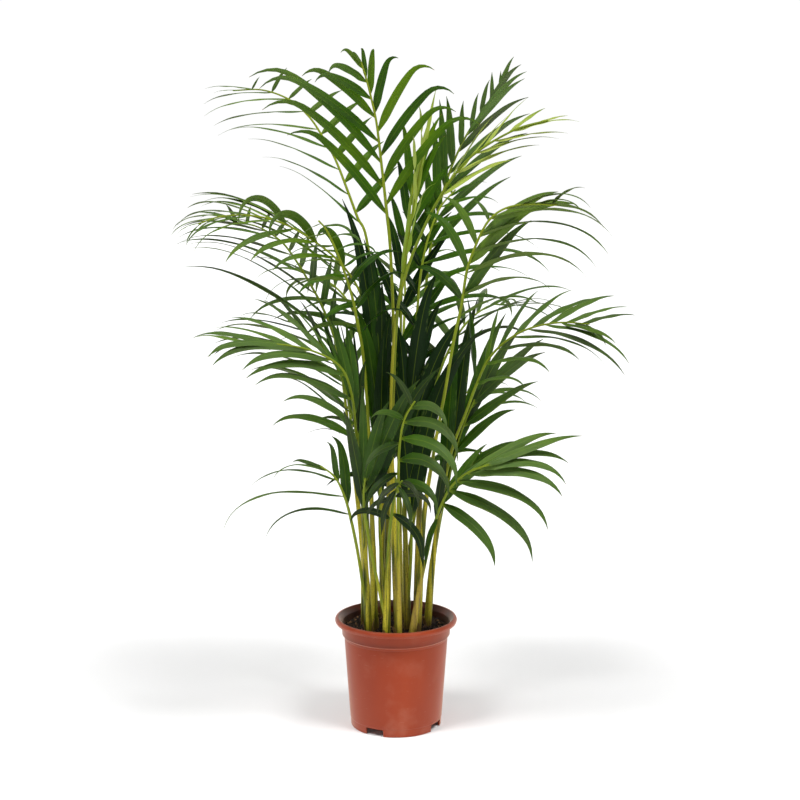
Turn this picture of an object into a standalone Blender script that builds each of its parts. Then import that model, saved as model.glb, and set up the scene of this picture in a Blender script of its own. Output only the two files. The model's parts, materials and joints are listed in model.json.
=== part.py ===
"""A potted areca palm: canes with feather fronds, standing in soil in a plastic nursery pot."""
import math
import random
from typing import NamedTuple

import bmesh
import bpy
from mathutils import Quaternion, Vector
from mathutils.bvhtree import BVHTree

# Driving dimensions, in metres, measured from the pot's axis and from the surface that it stands on

POT_HEIGHT = 0.189
LIP_RADIUS = 0.105
LIP_HEIGHT = 0.009
LIP_WIDTH = 0.009
BAND_HEIGHT = 0.021
BAND_RADIUS = 0.0936
BODY_TOP_RADIUS = 0.0892
FOOT_RADIUS = 0.0782
WALL = 0.0018
FLOOR_LIFT = 0.014
FLOOR_THICKNESS = 0.002
FOOT_WIDTH = 0.004
NOTCHES = 4
NOTCH_ARC = math.radians(24.0)
NOTCH_FIRST = math.radians(-118.0)
NOTCH_HEIGHT = 0.012
NOTCH_DEPTH = 0.020
DRAIN_RADIUS = 0.060
DRAIN_WIDTH = 0.008
DRAIN_LENGTH = 0.022
POT_SIDES = 32
POT_COLOUR = (0.400, 0.090, 0.040)
POT_ROUGHNESS = 0.42

# The lip's corners as shares of its width in from the outside and of its height down from the top
LIP_CORNERS = ((1.0, 0.3), (0.7, 0.0), (0.2, 0.1), (0.0, 0.5), (0.15, 1.0))

SOIL_TOP = 0.172
SOIL_CROWN = 0.003
SOIL_CROWN_SHARE = 0.75
HOLE_DEPTH = 0.042
HOLE_SIDES = 6
GAP = 0.0003
WALL_SLOPE_SHARE = 1.1
SOIL_COLOUR = (0.022, 0.014, 0.009)
SOIL_ROUGHNESS = 0.95

CANE_RADIUS = 0.0052
STALK_RADIUS = 0.0026
SIDE_STALK_SHARE = 1.15
MIDRIB_TIP_RADIUS = 0.0014
STALK_TAPER = (0.12, 0.55)
STALK_STEP = 0.110
RIB_STEP = 0.055
FINE_STEPS = 24
LEAF_COLOUR = (0.035, 0.130, 0.012)
LEAF_ROUGHNESS = 0.40

# A leaflet's blade: the shares of its width at the root and of its length where the sides turn
BLADE_ROOT_SHARE = 0.18
BLADE_RISE_END = 0.24
BLADE_FALL_START = 0.42
BLADE_TIP_POWER = 0.95
BLADE_THICKNESS = 0.0020
BLADE_THINNING = 0.3
BLADE_STATIONS = (0.0, 0.28, 0.68)
SHORT_BLADE = 0.130
SHORT_STATIONS = (0.0, 0.42)
BLADE_STEPS = 24

# How the leaflets stand along a frond: closer towards its tip, and longest a third of the way up
FIRST_LEAFLET = 0.35
GATHER = 1.3
PAIR_OFFSET = 0.18
PAIR_SCATTER = 0.08
TIP_MARGIN = 0.002
SHORTEST_LEAFLET = 0.024
TIP_NARROWING = 0.25
WIDEST_SHARE = 0.13
LOWEST_LENGTH = 0.74
LONGEST_PLACE = 0.35
TIP_SHORTENING = 0.50
TIP_SHORTENING_POWER = 1.6

# How much the leaflets differ, in degrees, in shares of the length and in powers of the bend
SPREADS = (-5, 5)
LIFTS = (-9, 9)
DROOPS = (-16, 18)
LENGTHS = (0.90, 1.08)
TWISTS = (-38, 38)
BENDS = (1.1, 2.2)

# How much of those differences an aimed leaflet has, and how its aim is found
CALM = 0.4
AIM_ROUNDS = 8
AIM_STEPS = 12
STEEPEST_START = math.radians(86.0)
LONGEST_DETOUR = 1.7

# How a leaflet's own weight bends it and turns its upper side to the sky
UPRIGHT_WEIGHT = 0.45
STEEPEST = math.radians(84.0)
CURL_START = 0.72
SKYWARD = 0.62
SKYWARD_END = 0.625
NEARLY_UPRIGHT = 0.02

# The turns in degrees and the shares of length and width that are tried to keep a leaflet clear, and how
# many of them are tried before it may touch a leaflet of its own cane
CHANGE_SIZES = (5.0, 10.0, 16.0, 24.0)
KEPT_SHARES = ((1.0, 1.0), (1.0, 0.6), (0.7, 0.6))
PATIENCE = 24

# The room kept between neighbours, and the stretch of a leaflet that may touch its own stem
ROOM = 0.0006
ROOT_STRETCH = 0.014
STEM_TEST_SIDES = 6
SEED = 7

MERGE = 0.00001

# The pot's axis stands here, so that the whole plant's box is centred on the origin
POT_AXIS = (0.0031, -0.0563, 0.0)


# The plan of the plant

class Row(NamedTuple):
    """Leaflets along one side of a frond: their count, the line that their tips follow, and their make.

    Their upper sides turn from the frond's own towards the front by the share in face.
    """
    count: int
    tips: tuple
    droop: float = 40.0
    width: float = 0.016
    curl: float = 12.0
    start: float = 0.0
    end: float = 1.0
    face: float = 0.0


class Frond(NamedTuple):
    """One frond: the points that its stalk and midrib pass through, and its rows of leaflets.

    A frond without rows has pairs of leaflets that open at even angles instead.
    """
    cane: str
    route: tuple
    bare: float = 0.5
    rows: tuple = ()
    roll: float = 0.0
    pairs: int = 0
    longest: float = 0.20
    width: float = 0.016
    open_low: float = 60.0
    open_high: float = 22.0
    lift: float = 20.0
    droop: float = 50.0
    curl: float = 15.0


CANE_FEET = {
    "new_leaves": (0.004, -0.044),
    "crown": (-0.016, 0.002),
    "right_tall": (0.036, -0.034),
    "right_low": (0.054, -0.002),
    "left_low": (-0.046, -0.050),
    "front_ribbons": (0.004, -0.072),
    "front_small": (-0.016, -0.076),
    "right_bottom": (0.026, -0.070),
    "left_tall": (-0.036, -0.022),
    "left_arch": (-0.054, 0.002),
    "centre_right": (0.020, -0.022),
    "far_left": (-0.046, 0.040),
    "back_left": (-0.022, 0.050),
    "back_centre": (0.006, 0.034),
    "back_right": (0.036, 0.054),
    "far_back": (0.008, 0.072),
}

PLAN = (
    # The half-open new frond and the spear beside it
    Frond("new_leaves",
          ((0.004, -0.044, 0.170), (-0.004, -0.053, 0.380), (-0.008, -0.062, 0.541),
           (-0.004, -0.068, 0.656), (0.004, -0.071, 0.731), (0.023, -0.077, 0.801), (0.047, -0.087, 0.859),
           (0.067, -0.098, 0.898), (0.087, -0.110, 0.930), (0.112, -0.130, 0.961), (0.147, -0.146, 0.987),
           (0.190, -0.164, 1.009), (0.232, -0.177, 1.020)),
          bare=0.75, roll=45.0, rows=(
              Row(5, ((0.147, -0.121, 1.029), (0.181, -0.130, 1.032), (0.210, -0.143, 1.055),
                      (0.233, -0.155, 1.037), (0.265, -0.167, 1.027)), droop=14.0, width=0.012, curl=6.0),
              Row(5, ((0.173, -0.155, 0.976), (0.228, -0.171, 0.996), (0.255, -0.180, 1.008),
                      (0.276, -0.186, 1.017)), droop=26.0, end=0.8, width=0.013, curl=6.0))),
    Frond("new_leaves",
          ((-0.006, -0.062, 0.501), (-0.001, -0.062, 0.664), (0.007, -0.054, 0.753),
           (0.020, -0.047, 0.834), (0.033, -0.037, 0.914), (0.046, -0.028, 0.986)),
          bare=0.50, rows=(
              Row(3, ((0.028, -0.014, 0.930), (0.050, -0.010, 1.020), (0.066, -0.020, 1.080)),
                  droop=6.0, width=0.014, curl=4.0),
              Row(3, ((0.065, -0.087, 0.925), (0.060, -0.043, 1.000), (0.056, -0.031, 1.050)),
                  droop=26.0, width=0.015, curl=50.0))),
    # The tall crown frond at the upper left, which leans towards the front
    Frond("crown",
          ((-0.016, 0.002, 0.170), (-0.012, -0.006, 0.400), (-0.004, -0.014, 0.640),
           (-0.008, -0.024, 0.800), (-0.016, -0.035, 0.890), (-0.023, -0.049, 0.955),
           (-0.030, -0.074, 1.017), (-0.038, -0.096, 1.056), (-0.046, -0.117, 1.087),
           (-0.053, -0.136, 1.110)),
          bare=0.72, roll=8.0, rows=(
              Row(8, ((-0.175, -0.106, 1.000), (-0.202, -0.117, 1.032), (-0.237, -0.130, 1.083),
                      (-0.208, -0.143, 1.064), (-0.152, -0.155, 1.090), (-0.123, -0.167, 1.081),
                      (-0.102, -0.180, 1.086), (-0.084, -0.173, 1.121)),
                  droop=34.0, width=0.015, curl=60.0, face=0.75),
              Row(8, ((0.145, -0.063, 1.014), (0.102, -0.080, 1.034), (0.090, -0.099, 1.064),
                      (0.054, -0.110, 1.100), (0.006, -0.117, 1.118), (-0.036, -0.138, 1.129),
                      (-0.053, -0.149, 1.128), (-0.066, -0.167, 1.117)),
                  droop=34.0, width=0.0145, curl=76.0, face=0.75))),
    Frond("crown",
          ((-0.015, 0.000, 0.200), (-0.027, -0.012, 0.330), (-0.025, -0.024, 0.450),
           (-0.023, -0.030, 0.550), (-0.026, -0.037, 0.620)),
          bare=0.45, rows=(
              Row(4, ((-0.083, -0.078, 0.692), (-0.064, -0.058, 0.681), (-0.074, -0.052, 0.834),
                      (-0.100, -0.050, 0.915), (-0.045, -0.051, 0.840)),
                  droop=20.0, width=0.028, face=1.0),
              Row(4, ((0.013, -0.046, 0.690), (-0.006, -0.041, 0.735), (-0.032, -0.059, 0.713),
                      (-0.014, -0.035, 0.790), (-0.030, -0.030, 0.820)),
                  droop=16.0, width=0.028, face=1.0))),
    # The tall frond on the right, which arches to the right
    Frond("right_tall",
          ((0.036, -0.034, 0.170), (0.046, -0.040, 0.360), (0.064, -0.051, 0.491), (0.081, -0.062, 0.589),
           (0.094, -0.083, 0.674), (0.105, -0.106, 0.731), (0.112, -0.130, 0.787), (0.125, -0.152, 0.830),
           (0.143, -0.177, 0.868), (0.168, -0.202, 0.888), (0.202, -0.223, 0.894), (0.241, -0.242, 0.893)),
          bare=0.64, roll=-16.0, rows=(
              Row(10, ((0.219, -0.174, 0.740), (0.291, -0.209, 0.777), (0.316, -0.240, 0.816),
                       (0.324, -0.260, 0.836), (0.311, -0.276, 0.857), (0.270, -0.279, 0.882),
                       (0.280, -0.267, 0.920)), droop=66.0, width=0.013),
              Row(7, ((0.030, -0.071, 0.791), (0.052, -0.095, 0.880), (0.079, -0.129, 0.905),
                      (0.118, -0.161, 0.899), (0.182, -0.198, 0.893), (0.199, -0.217, 0.906),
                      (0.218, -0.232, 0.894)), droop=72.0, width=0.016, curl=30.0, face=0.5),
              Row(4, ((0.194, -0.198, 0.881), (0.215, -0.211, 0.895), (0.243, -0.232, 0.901),
                      (0.270, -0.242, 0.894)), droop=22.0, width=0.020, start=0.10, end=0.7, face=0.7))),
    # The low right frond with broad leaflets, and the small one under it
    Frond("right_low",
          ((0.054, -0.002, 0.170), (0.062, -0.006, 0.280), (0.078, -0.012, 0.400), (0.094, -0.018, 0.482),
           (0.117, -0.024, 0.547), (0.133, -0.031, 0.593), (0.152, -0.042, 0.637), (0.180, -0.060, 0.670),
           (0.217, -0.080, 0.693), (0.264, -0.097, 0.704), (0.309, -0.114, 0.703)),
          bare=0.62, roll=-8.0, rows=(
              Row(8, ((0.154, 0.010, 0.735), (0.195, -0.004, 0.735), (0.252, -0.016, 0.757),
                      (0.315, -0.039, 0.745), (0.355, -0.076, 0.742), (0.371, -0.102, 0.729),
                      (0.380, -0.124, 0.714)), droop=28.0, width=0.017, face=0.4),
              Row(9, ((0.207, -0.117, 0.606), (0.257, -0.143, 0.634), (0.319, -0.155, 0.647),
                       (0.361, -0.164, 0.629), (0.357, -0.167, 0.649), (0.342, -0.158, 0.670),
                       (0.315, -0.143, 0.682)), droop=46.0, width=0.015, face=0.3))),
    Frond("right_low",
          ((0.056, -0.003, 0.200), (0.066, 0.008, 0.290), (0.075, 0.014, 0.350), (0.086, 0.020, 0.405),
           (0.103, 0.026, 0.477), (0.117, 0.030, 0.520), (0.134, 0.036, 0.560)),
          bare=0.50, roll=-16.0, rows=(
              Row(5, ((0.100, 0.058, 0.690), (0.150, 0.064, 0.731), (0.190, 0.068, 0.700),
                      (0.214, 0.070, 0.672), (0.260, 0.072, 0.661)), droop=16.0, width=0.024, face=0.9),
              Row(4, ((0.214, -0.010, 0.500), (0.200, 0.008, 0.549), (0.236, 0.030, 0.592),
                      (0.250, 0.052, 0.640)), droop=34.0, width=0.024, face=0.6))),
    # Two low fronds on the left
    Frond("left_low",
          ((-0.046, -0.050, 0.170), (-0.052, -0.063, 0.330), (-0.058, -0.095, 0.463),
           (-0.064, -0.118, 0.533), (-0.069, -0.133, 0.587), (-0.081, -0.150, 0.630),
           (-0.104, -0.171, 0.655), (-0.140, -0.189, 0.672), (-0.183, -0.208, 0.681),
           (-0.224, -0.220, 0.680)),
          bare=0.55, roll=8.0, rows=(
              Row(3, ((-0.045, -0.108, 0.643), (-0.076, -0.115, 0.705), (-0.104, -0.110, 0.709)),
                  droop=14.0, width=0.022, end=0.3, face=1.0),
              Row(8, ((-0.170, -0.232, 0.592), (-0.223, -0.248, 0.624), (-0.228, -0.260, 0.651),
                      (-0.283, -0.260, 0.654), (-0.273, -0.254, 0.667), (-0.286, -0.245, 0.678)),
                  droop=46.0, width=0.017, face=0.5),
              Row(7, ((-0.133, -0.124, 0.707), (-0.208, -0.130, 0.746), (-0.258, -0.149, 0.719),
                      (-0.301, -0.180, 0.692), (-0.317, -0.208, 0.688)),
                  droop=34.0, width=0.017, start=0.2, face=0.4))),
    Frond("left_low",
          ((-0.047, -0.052, 0.195), (-0.062, -0.068, 0.310), (-0.075, -0.094, 0.387),
           (-0.085, -0.117, 0.429), (-0.098, -0.142, 0.461), (-0.119, -0.160, 0.482)),
          bare=0.60, roll=6.0, rows=(
              Row(4, ((-0.218, -0.109, 0.346), (-0.283, -0.132, 0.362), (-0.242, -0.166, 0.433),
                      (-0.196, -0.178, 0.465)), droop=96.0, width=0.014, curl=8.0, face=0.4),
              Row(3, ((-0.092, -0.140, 0.526), (-0.107, -0.152, 0.521), (-0.164, -0.167, 0.479)),
                  droop=40.0, width=0.025, curl=40.0, face=0.9))),
    # The ribbons that face the front at the centre
    Frond("front_ribbons",
          ((0.004, -0.072, 0.170), (0.004, -0.080, 0.320), (0.004, -0.102, 0.433), (0.006, -0.126, 0.505),
           (0.014, -0.148, 0.554), (0.030, -0.173, 0.587)),
          bare=0.60, rows=(
              Row(5, ((0.064, -0.172, 0.404), (0.084, -0.204, 0.436), (0.100, -0.219, 0.462),
                      (0.092, -0.232, 0.506), (0.079, -0.236, 0.548)), droop=100.0, width=0.019, curl=24.0,
                  face=0.7),
              Row(4, ((-0.046, -0.163, 0.408), (-0.052, -0.187, 0.476), (-0.040, -0.197, 0.566),
                      (-0.014, -0.181, 0.634)), droop=64.0, width=0.026, face=0.9))),
    Frond("front_small",
          ((-0.016, -0.076, 0.170), (-0.014, -0.086, 0.300), (-0.009, -0.101, 0.371),
           (-0.003, -0.120, 0.418), (0.003, -0.141, 0.445), (0.010, -0.166, 0.459)),
          bare=0.66, rows=(
              Row(4, ((-0.073, -0.147, 0.384), (-0.047, -0.164, 0.396), (-0.019, -0.162, 0.369),
                      (-0.030, -0.189, 0.407)), droop=104.0, width=0.019, curl=30.0, face=0.8),
              Row(4, ((0.046, -0.118, 0.308), (0.055, -0.177, 0.406), (0.026, -0.173, 0.380),
                      (0.036, -0.203, 0.418)), droop=104.0, width=0.019, curl=30.0, face=0.8))),
    # The broad dark leaflets that cross in front of the stems
    Frond("front_small",
          ((-0.016, -0.078, 0.200), (-0.038, -0.086, 0.310), (-0.049, -0.100, 0.380),
           (-0.052, -0.117, 0.424), (-0.049, -0.135, 0.456)),
          bare=0.72, rows=(
              Row(2, ((-0.081, -0.186, 0.570), (-0.058, -0.172, 0.608)), droop=24.0, width=0.019, face=1.0),
              Row(3, ((0.093, -0.189, 0.617), (0.039, -0.169, 0.617), (-0.008, -0.149, 0.595)),
                  droop=24.0, width=0.028, face=1.0))),
    Frond("right_bottom",
          ((0.026, -0.070, 0.170), (0.038, -0.076, 0.250), (0.050, -0.080, 0.310), (0.062, -0.090, 0.366),
           (0.075, -0.103, 0.408), (0.091, -0.121, 0.442), (0.116, -0.142, 0.468), (0.147, -0.160, 0.484)),
          bare=0.55, roll=-16.0, rows=(
              Row(6, ((0.081, -0.127, 0.499), (0.163, -0.090, 0.507), (0.197, -0.108, 0.496),
                      (0.256, -0.128, 0.508), (0.294, -0.142, 0.518)), droop=18.0, width=0.019, start=0.03,
                  face=0.7),
              Row(7, ((0.047, -0.112, 0.300), (0.175, -0.141, 0.314), (0.229, -0.148, 0.326),
                      (0.253, -0.175, 0.425), (0.272, -0.172, 0.449), (0.274, -0.163, 0.483)),
                  droop=66.0, width=0.020, face=0.6))),
    # The frond at the left centre that faces the front, and the thin one behind it
    Frond("left_tall",
          ((-0.036, -0.022, 0.170), (-0.040, -0.026, 0.360), (-0.045, -0.033, 0.520),
           (-0.054, -0.045, 0.646), (-0.062, -0.061, 0.696), (-0.069, -0.076, 0.738),
           (-0.078, -0.093, 0.772), (-0.087, -0.113, 0.802), (-0.098, -0.141, 0.833),
           (-0.108, -0.161, 0.855), (-0.118, -0.177, 0.868)),
          bare=0.68, roll=18.0, rows=(
              Row(7, ((0.020, -0.070, 0.721), (0.016, -0.069, 0.776), (0.008, -0.078, 0.813),
                      (-0.009, -0.108, 0.807), (-0.029, -0.152, 0.813), (-0.052, -0.181, 0.832),
                      (-0.064, -0.200, 0.841)), droop=84.0, width=0.016, curl=26.0, face=0.5),
              Row(7, ((-0.150, -0.045, 0.671), (-0.170, -0.084, 0.732), (-0.174, -0.130, 0.787),
                      (-0.166, -0.164, 0.815), (-0.146, -0.186, 0.840)), droop=56.0, width=0.0164,
                  face=0.3))),
    Frond("left_tall",
          ((-0.037, -0.023, 0.210), (-0.046, -0.018, 0.330), (-0.051, -0.024, 0.420),
           (-0.059, -0.030, 0.490), (-0.074, -0.035, 0.550), (-0.091, -0.038, 0.610),
           (-0.114, -0.044, 0.650), (-0.141, -0.056, 0.681), (-0.175, -0.068, 0.705)),
          bare=0.50, roll=4.0, rows=(
              Row(7, ((-0.080, 0.000, 0.690), (-0.098, -0.008, 0.716), (-0.134, -0.020, 0.727),
                      (-0.190, -0.037, 0.738), (-0.217, -0.053, 0.739)), droop=24.0, width=0.015, face=0.4),
              Row(7, ((-0.183, -0.139, 0.617), (-0.235, -0.136, 0.646), (-0.297, -0.121, 0.684),
                      (-0.288, -0.106, 0.699), (-0.253, -0.084, 0.712)), droop=40.0, width=0.015))),
    # The long arch to the left
    Frond("left_arch",
          ((-0.054, 0.002, 0.170), (-0.053, 0.002, 0.400), (-0.046, 0.000, 0.560), (-0.043, -0.002, 0.670),
           (-0.058, 0.000, 0.742), (-0.093, 0.004, 0.795), (-0.143, 0.008, 0.835), (-0.193, 0.014, 0.861),
           (-0.243, 0.018, 0.872), (-0.292, 0.022, 0.870), (-0.330, 0.024, 0.858)),
          bare=0.60, roll=7.0, rows=(
              Row(12, ((-0.200, 0.064, 0.860), (-0.322, 0.062, 0.912), (-0.356, 0.070, 0.905),
                       (-0.330, 0.066, 0.888), (-0.352, 0.058, 0.873), (-0.382, 0.056, 0.844),
                       (-0.369, 0.036, 0.836)), droop=46.0, width=0.013),
              Row(10, ((-0.120, -0.045, 0.700), (-0.189, -0.064, 0.781), (-0.251, -0.084, 0.801),
                       (-0.344, -0.037, 0.820), (-0.330, -0.016, 0.836), (-0.347, 0.000, 0.828)),
                  droop=48.0, width=0.0164),
              Row(3, ((-0.133, -0.079, 0.835), (-0.198, -0.093, 0.843), (-0.247, -0.089, 0.863)),
                  droop=150.0, width=0.016, start=0.20, end=0.66, curl=30.0, face=0.8))),
    # The right centre frond with thin arching leaflets, and the short dark one beside it
    Frond("centre_right",
          ((0.020, -0.022, 0.170), (0.016, -0.024, 0.330), (0.014, -0.022, 0.450), (0.020, -0.014, 0.566),
           (0.027, -0.006, 0.632), (0.035, 0.004, 0.707), (0.042, 0.014, 0.778), (0.054, 0.024, 0.834),
           (0.074, 0.036, 0.884), (0.100, 0.048, 0.914)),
          bare=0.58, roll=16.0, rows=(
              Row(9, ((0.105, -0.020, 0.660), (0.151, -0.020, 0.710), (0.198, -0.010, 0.738),
                       (0.240, 0.000, 0.770), (0.261, 0.006, 0.795), (0.211, 0.020, 0.844),
                       (0.180, 0.040, 0.885), (0.150, 0.052, 0.930)), droop=58.0, width=0.012),
              Row(8, ((-0.034, 0.036, 0.700), (-0.013, 0.044, 0.770), (0.000, 0.048, 0.830),
                      (0.014, 0.052, 0.889), (0.041, 0.056, 0.930), (0.074, 0.060, 0.952)),
                  droop=26.0, width=0.018, face=0.7))),
    Frond("centre_right",
          ((0.019, -0.022, 0.195), (0.026, -0.036, 0.330), (0.020, -0.037, 0.440), (0.021, -0.032, 0.530),
           (0.032, -0.033, 0.595)),
          bare=0.40, rows=(
              Row(5, ((0.104, -0.061, 0.641), (0.134, -0.055, 0.689), (0.106, -0.050, 0.713),
                      (0.122, -0.033, 0.706), (0.076, -0.024, 0.736)),
                  droop=34.0, width=0.028, face=1.0),
              Row(5, ((-0.010, -0.046, 0.640), (0.002, -0.046, 0.700), (0.027, -0.030, 0.690),
                      (0.046, -0.037, 0.790), (0.060, -0.012, 0.740)),
                  droop=16.0, width=0.030, face=1.0))),
    # The fronds behind
    Frond("far_left",
          ((-0.046, 0.040, 0.170), (-0.062, 0.046, 0.340), (-0.080, 0.052, 0.490), (-0.096, 0.060, 0.625),
           (-0.110, 0.066, 0.676), (-0.130, 0.072, 0.723), (-0.149, 0.078, 0.757), (-0.170, 0.086, 0.791),
           (-0.198, 0.098, 0.826), (-0.239, 0.116, 0.850), (-0.284, 0.134, 0.858)),
          bare=0.62, roll=-8.0, rows=(
              Row(9, ((-0.355, 0.060, 0.790), (-0.363, 0.080, 0.815), (-0.390, 0.100, 0.811),
                      (-0.379, 0.120, 0.827), (-0.367, 0.140, 0.847), (-0.340, 0.150, 0.855)),
                  droop=46.0, width=0.012),
              Row(9, ((-0.100, 0.112, 0.745), (-0.122, 0.120, 0.812), (-0.147, 0.130, 0.832),
                      (-0.168, 0.140, 0.846), (-0.197, 0.150, 0.866), (-0.243, 0.160, 0.884),
                      (-0.300, 0.165, 0.886)), droop=18.0, width=0.015, face=0.8))),
    Frond("far_left",
          ((-0.060, 0.046, 0.330), (-0.078, 0.100, 0.500), (-0.094, 0.156, 0.590), (-0.110, 0.212, 0.632)),
          bare=0.44, pairs=5, longest=0.200, width=0.015, open_low=54.0, open_high=20.0, lift=18.0,
          droop=66.0, roll=-16.0),
    Frond("back_left",
          ((-0.022, 0.050, 0.170), (-0.026, 0.058, 0.450), (-0.032, 0.072, 0.690), (-0.050, 0.086, 0.829),
           (-0.066, 0.096, 0.867), (-0.083, 0.108, 0.912), (-0.105, 0.130, 0.966), (-0.128, 0.146, 1.006),
           (-0.152, 0.162, 1.040), (-0.187, 0.182, 1.070), (-0.237, 0.204, 1.088), (-0.290, 0.220, 1.088)),
          bare=0.64, roll=-8.0, rows=(
              Row(10, ((-0.200, 0.120, 0.945), (-0.240, 0.130, 0.978), (-0.278, 0.150, 1.012),
                       (-0.317, 0.165, 1.002), (-0.323, 0.180, 1.031), (-0.346, 0.195, 1.049),
                       (-0.338, 0.208, 1.082), (-0.325, 0.226, 1.084)), droop=26.0, width=0.0115),
              Row(9, ((0.003, 0.120, 0.950), (-0.019, 0.128, 0.996), (-0.041, 0.138, 1.034),
                      (-0.061, 0.150, 1.066), (-0.096, 0.165, 1.090), (-0.149, 0.180, 1.106),
                      (-0.191, 0.192, 1.125), (-0.240, 0.205, 1.112), (-0.290, 0.215, 1.104)),
                  droop=10.0, width=0.014, face=0.9))),
    Frond("back_left",
          ((-0.028, 0.062, 0.500), (-0.050, 0.104, 0.636), (-0.080, 0.158, 0.708), (-0.116, 0.216, 0.744),
           (-0.148, 0.260, 0.750)),
          bare=0.46, pairs=6, longest=0.215, width=0.013, open_low=56.0, open_high=18.0, lift=18.0,
          droop=66.0),
    Frond("back_centre",
          ((0.006, 0.034, 0.170), (0.006, 0.040, 0.450), (0.008, 0.046, 0.680), (0.012, 0.042, 0.790),
           (0.020, 0.036, 0.865), (0.030, 0.028, 0.925)),
          bare=0.60, rows=(
              Row(6, ((-0.052, 0.030, 0.760), (-0.036, 0.030, 0.850), (-0.012, 0.030, 0.930),
                      (0.016, 0.024, 1.030)), droop=14.0, width=0.018, face=0.8),
              Row(7, ((0.088, 0.040, 0.800), (0.096, 0.040, 0.880), (0.090, 0.036, 0.960),
                      (0.074, 0.030, 1.040)), droop=14.0, width=0.018, face=0.8))),
    Frond("back_centre",
          ((0.006, 0.041, 0.480), (0.012, 0.096, 0.640), (0.016, 0.160, 0.726), (0.014, 0.224, 0.764),
           (0.008, 0.276, 0.764)),
          bare=0.44, pairs=6, longest=0.220, width=0.013, open_low=56.0, open_high=18.0, lift=18.0,
          droop=66.0),
    Frond("back_right",
          ((0.036, 0.054, 0.170), (0.042, 0.066, 0.420), (0.046, 0.080, 0.620), (0.051, 0.090, 0.735),
           (0.059, 0.100, 0.811), (0.071, 0.112, 0.871), (0.087, 0.128, 0.927), (0.108, 0.148, 0.979),
           (0.133, 0.168, 1.024), (0.162, 0.190, 1.060), (0.188, 0.208, 1.082)),
          bare=0.66, roll=19.0, rows=(
              Row(9, ((0.175, 0.112, 0.951), (0.203, 0.124, 1.002), (0.215, 0.150, 1.047),
                      (0.223, 0.170, 1.082), (0.235, 0.190, 1.108), (0.227, 0.205, 1.129),
                      (0.209, 0.215, 1.146)), droop=26.0, width=0.0135, face=0.7),
              Row(9, ((0.044, 0.108, 0.970), (0.075, 0.112, 1.045), (0.086, 0.130, 1.072),
                      (0.114, 0.150, 1.066), (0.150, 0.170, 1.089), (0.172, 0.190, 1.116),
                      (0.192, 0.205, 1.124)), droop=10.0, width=0.015, face=0.9))),
    Frond("back_right",
          ((0.043, 0.068, 0.450), (0.074, 0.108, 0.590), (0.116, 0.156, 0.668), (0.164, 0.206, 0.704),
           (0.202, 0.240, 0.706)),
          bare=0.44, pairs=6, longest=0.215, width=0.013, open_low=54.0, open_high=18.0, lift=18.0,
          droop=64.0),
    Frond("far_back",
          ((0.008, 0.072, 0.170), (0.036, 0.100, 0.360), (0.070, 0.142, 0.476), (0.104, 0.182, 0.534),
           (0.142, 0.222, 0.552)),
          bare=0.54, pairs=5, longest=0.210, width=0.015, open_low=56.0, open_high=22.0, lift=16.0,
          droop=64.0, roll=10.0),
    Frond("far_back",
          ((0.020, 0.084, 0.260), (0.006, 0.126, 0.370), (-0.016, 0.176, 0.440), (-0.038, 0.226, 0.462)),
          bare=0.46, pairs=4, longest=0.200, width=0.015, open_low=56.0, open_high=22.0, lift=22.0,
          droop=66.0),
)

UP = Vector((0.0, 0.0, 1.0))
FRONT = Vector((0.0, -1.0, 0.0))


def smooth_route(points, share):
    """The place at a share of the way along a smooth curve through the points."""
    last = len(points) - 2
    step = min(int(share * (last + 1)), last)
    t = share * (last + 1) - step
    p1 = Vector(points[step])
    p2 = Vector(points[step + 1])
    p0 = Vector(points[step - 1]) if step else p1 * 2 - p2
    p3 = Vector(points[step + 2]) if step < last else p2 * 2 - p1
    return 0.5 * (2 * p1 + (p2 - p0) * t + (2 * p0 - 5 * p1 + 4 * p2 - p3) * t * t
                  + (3 * p1 - p0 - 3 * p2 + p3) * t * t * t)


class Path:
    """A line through places, measured along its length."""

    def __init__(self, places):
        self.places = places
        self.marks = [0.0]
        for before, after in zip(places, places[1:]):
            self.marks.append(self.marks[-1] + (after - before).length)
        self.length = self.marks[-1]

    def at(self, distance):
        """The place and the direction at a distance along the line."""
        distance = min(max(distance, 0.0), self.length)
        for step in range(len(self.places) - 1):
            if distance <= self.marks[step + 1] or step == len(self.places) - 2:
                break
        before = self.places[step]
        after = self.places[step + 1]
        share = (distance - self.marks[step]) / (self.marks[step + 1] - self.marks[step])
        return before.lerp(after, share), (after - before).normalized()


def fine_path(frond):
    """The frond's stalk and midrib as a finely divided line."""
    count = FINE_STEPS * (len(frond.route) - 1)
    return Path([smooth_route(frond.route, i / count) for i in range(count + 1)])


def coarse_path(frond):
    """The same line with only the bends that the solid needs."""
    fine = fine_path(frond)
    first = frond.bare * fine.length
    stalk_steps = max(2, round(first / STALK_STEP))
    marks = [first * i / stalk_steps for i in range(stalk_steps)]
    rib_steps = max(2, round((fine.length - first) / RIB_STEP))
    marks += [first + (fine.length - first) * i / rib_steps for i in range(rib_steps + 1)]
    return Path([fine.at(mark)[0] for mark in marks])


def rooted(frond):
    """The frond with its foot moved onto the cane's first frond, at the same height."""
    first = next(other for other in PLAN if other.cane == frond.cane)
    if frond is first:
        return frond
    stem = coarse_path(first)
    height = frond.route[0][2]
    for below, above in zip(stem.places, stem.places[1:]):
        if below.z <= height < above.z:
            foot = below.lerp(above, (height - below.z) / (above.z - below.z))
    return frond._replace(route=(tuple(foot),) + frond.route[1:])


def heading_of(frond):
    """The level direction in which the frond arches over."""
    reach = Vector(frond.route[-1]) - Vector(frond.route[len(frond.route) // 2])
    reach.z = 0.0
    return reach.normalized()


def frond_axes(frond, along):
    """The frond's own right and its upper side where it runs along a direction."""
    side = heading_of(frond).cross(UP)
    side = (side - along * side.dot(along)).normalized()
    upper = side.cross(along)
    turn = Quaternion(along, math.radians(frond.roll))
    return turn @ side, turn @ upper


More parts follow.
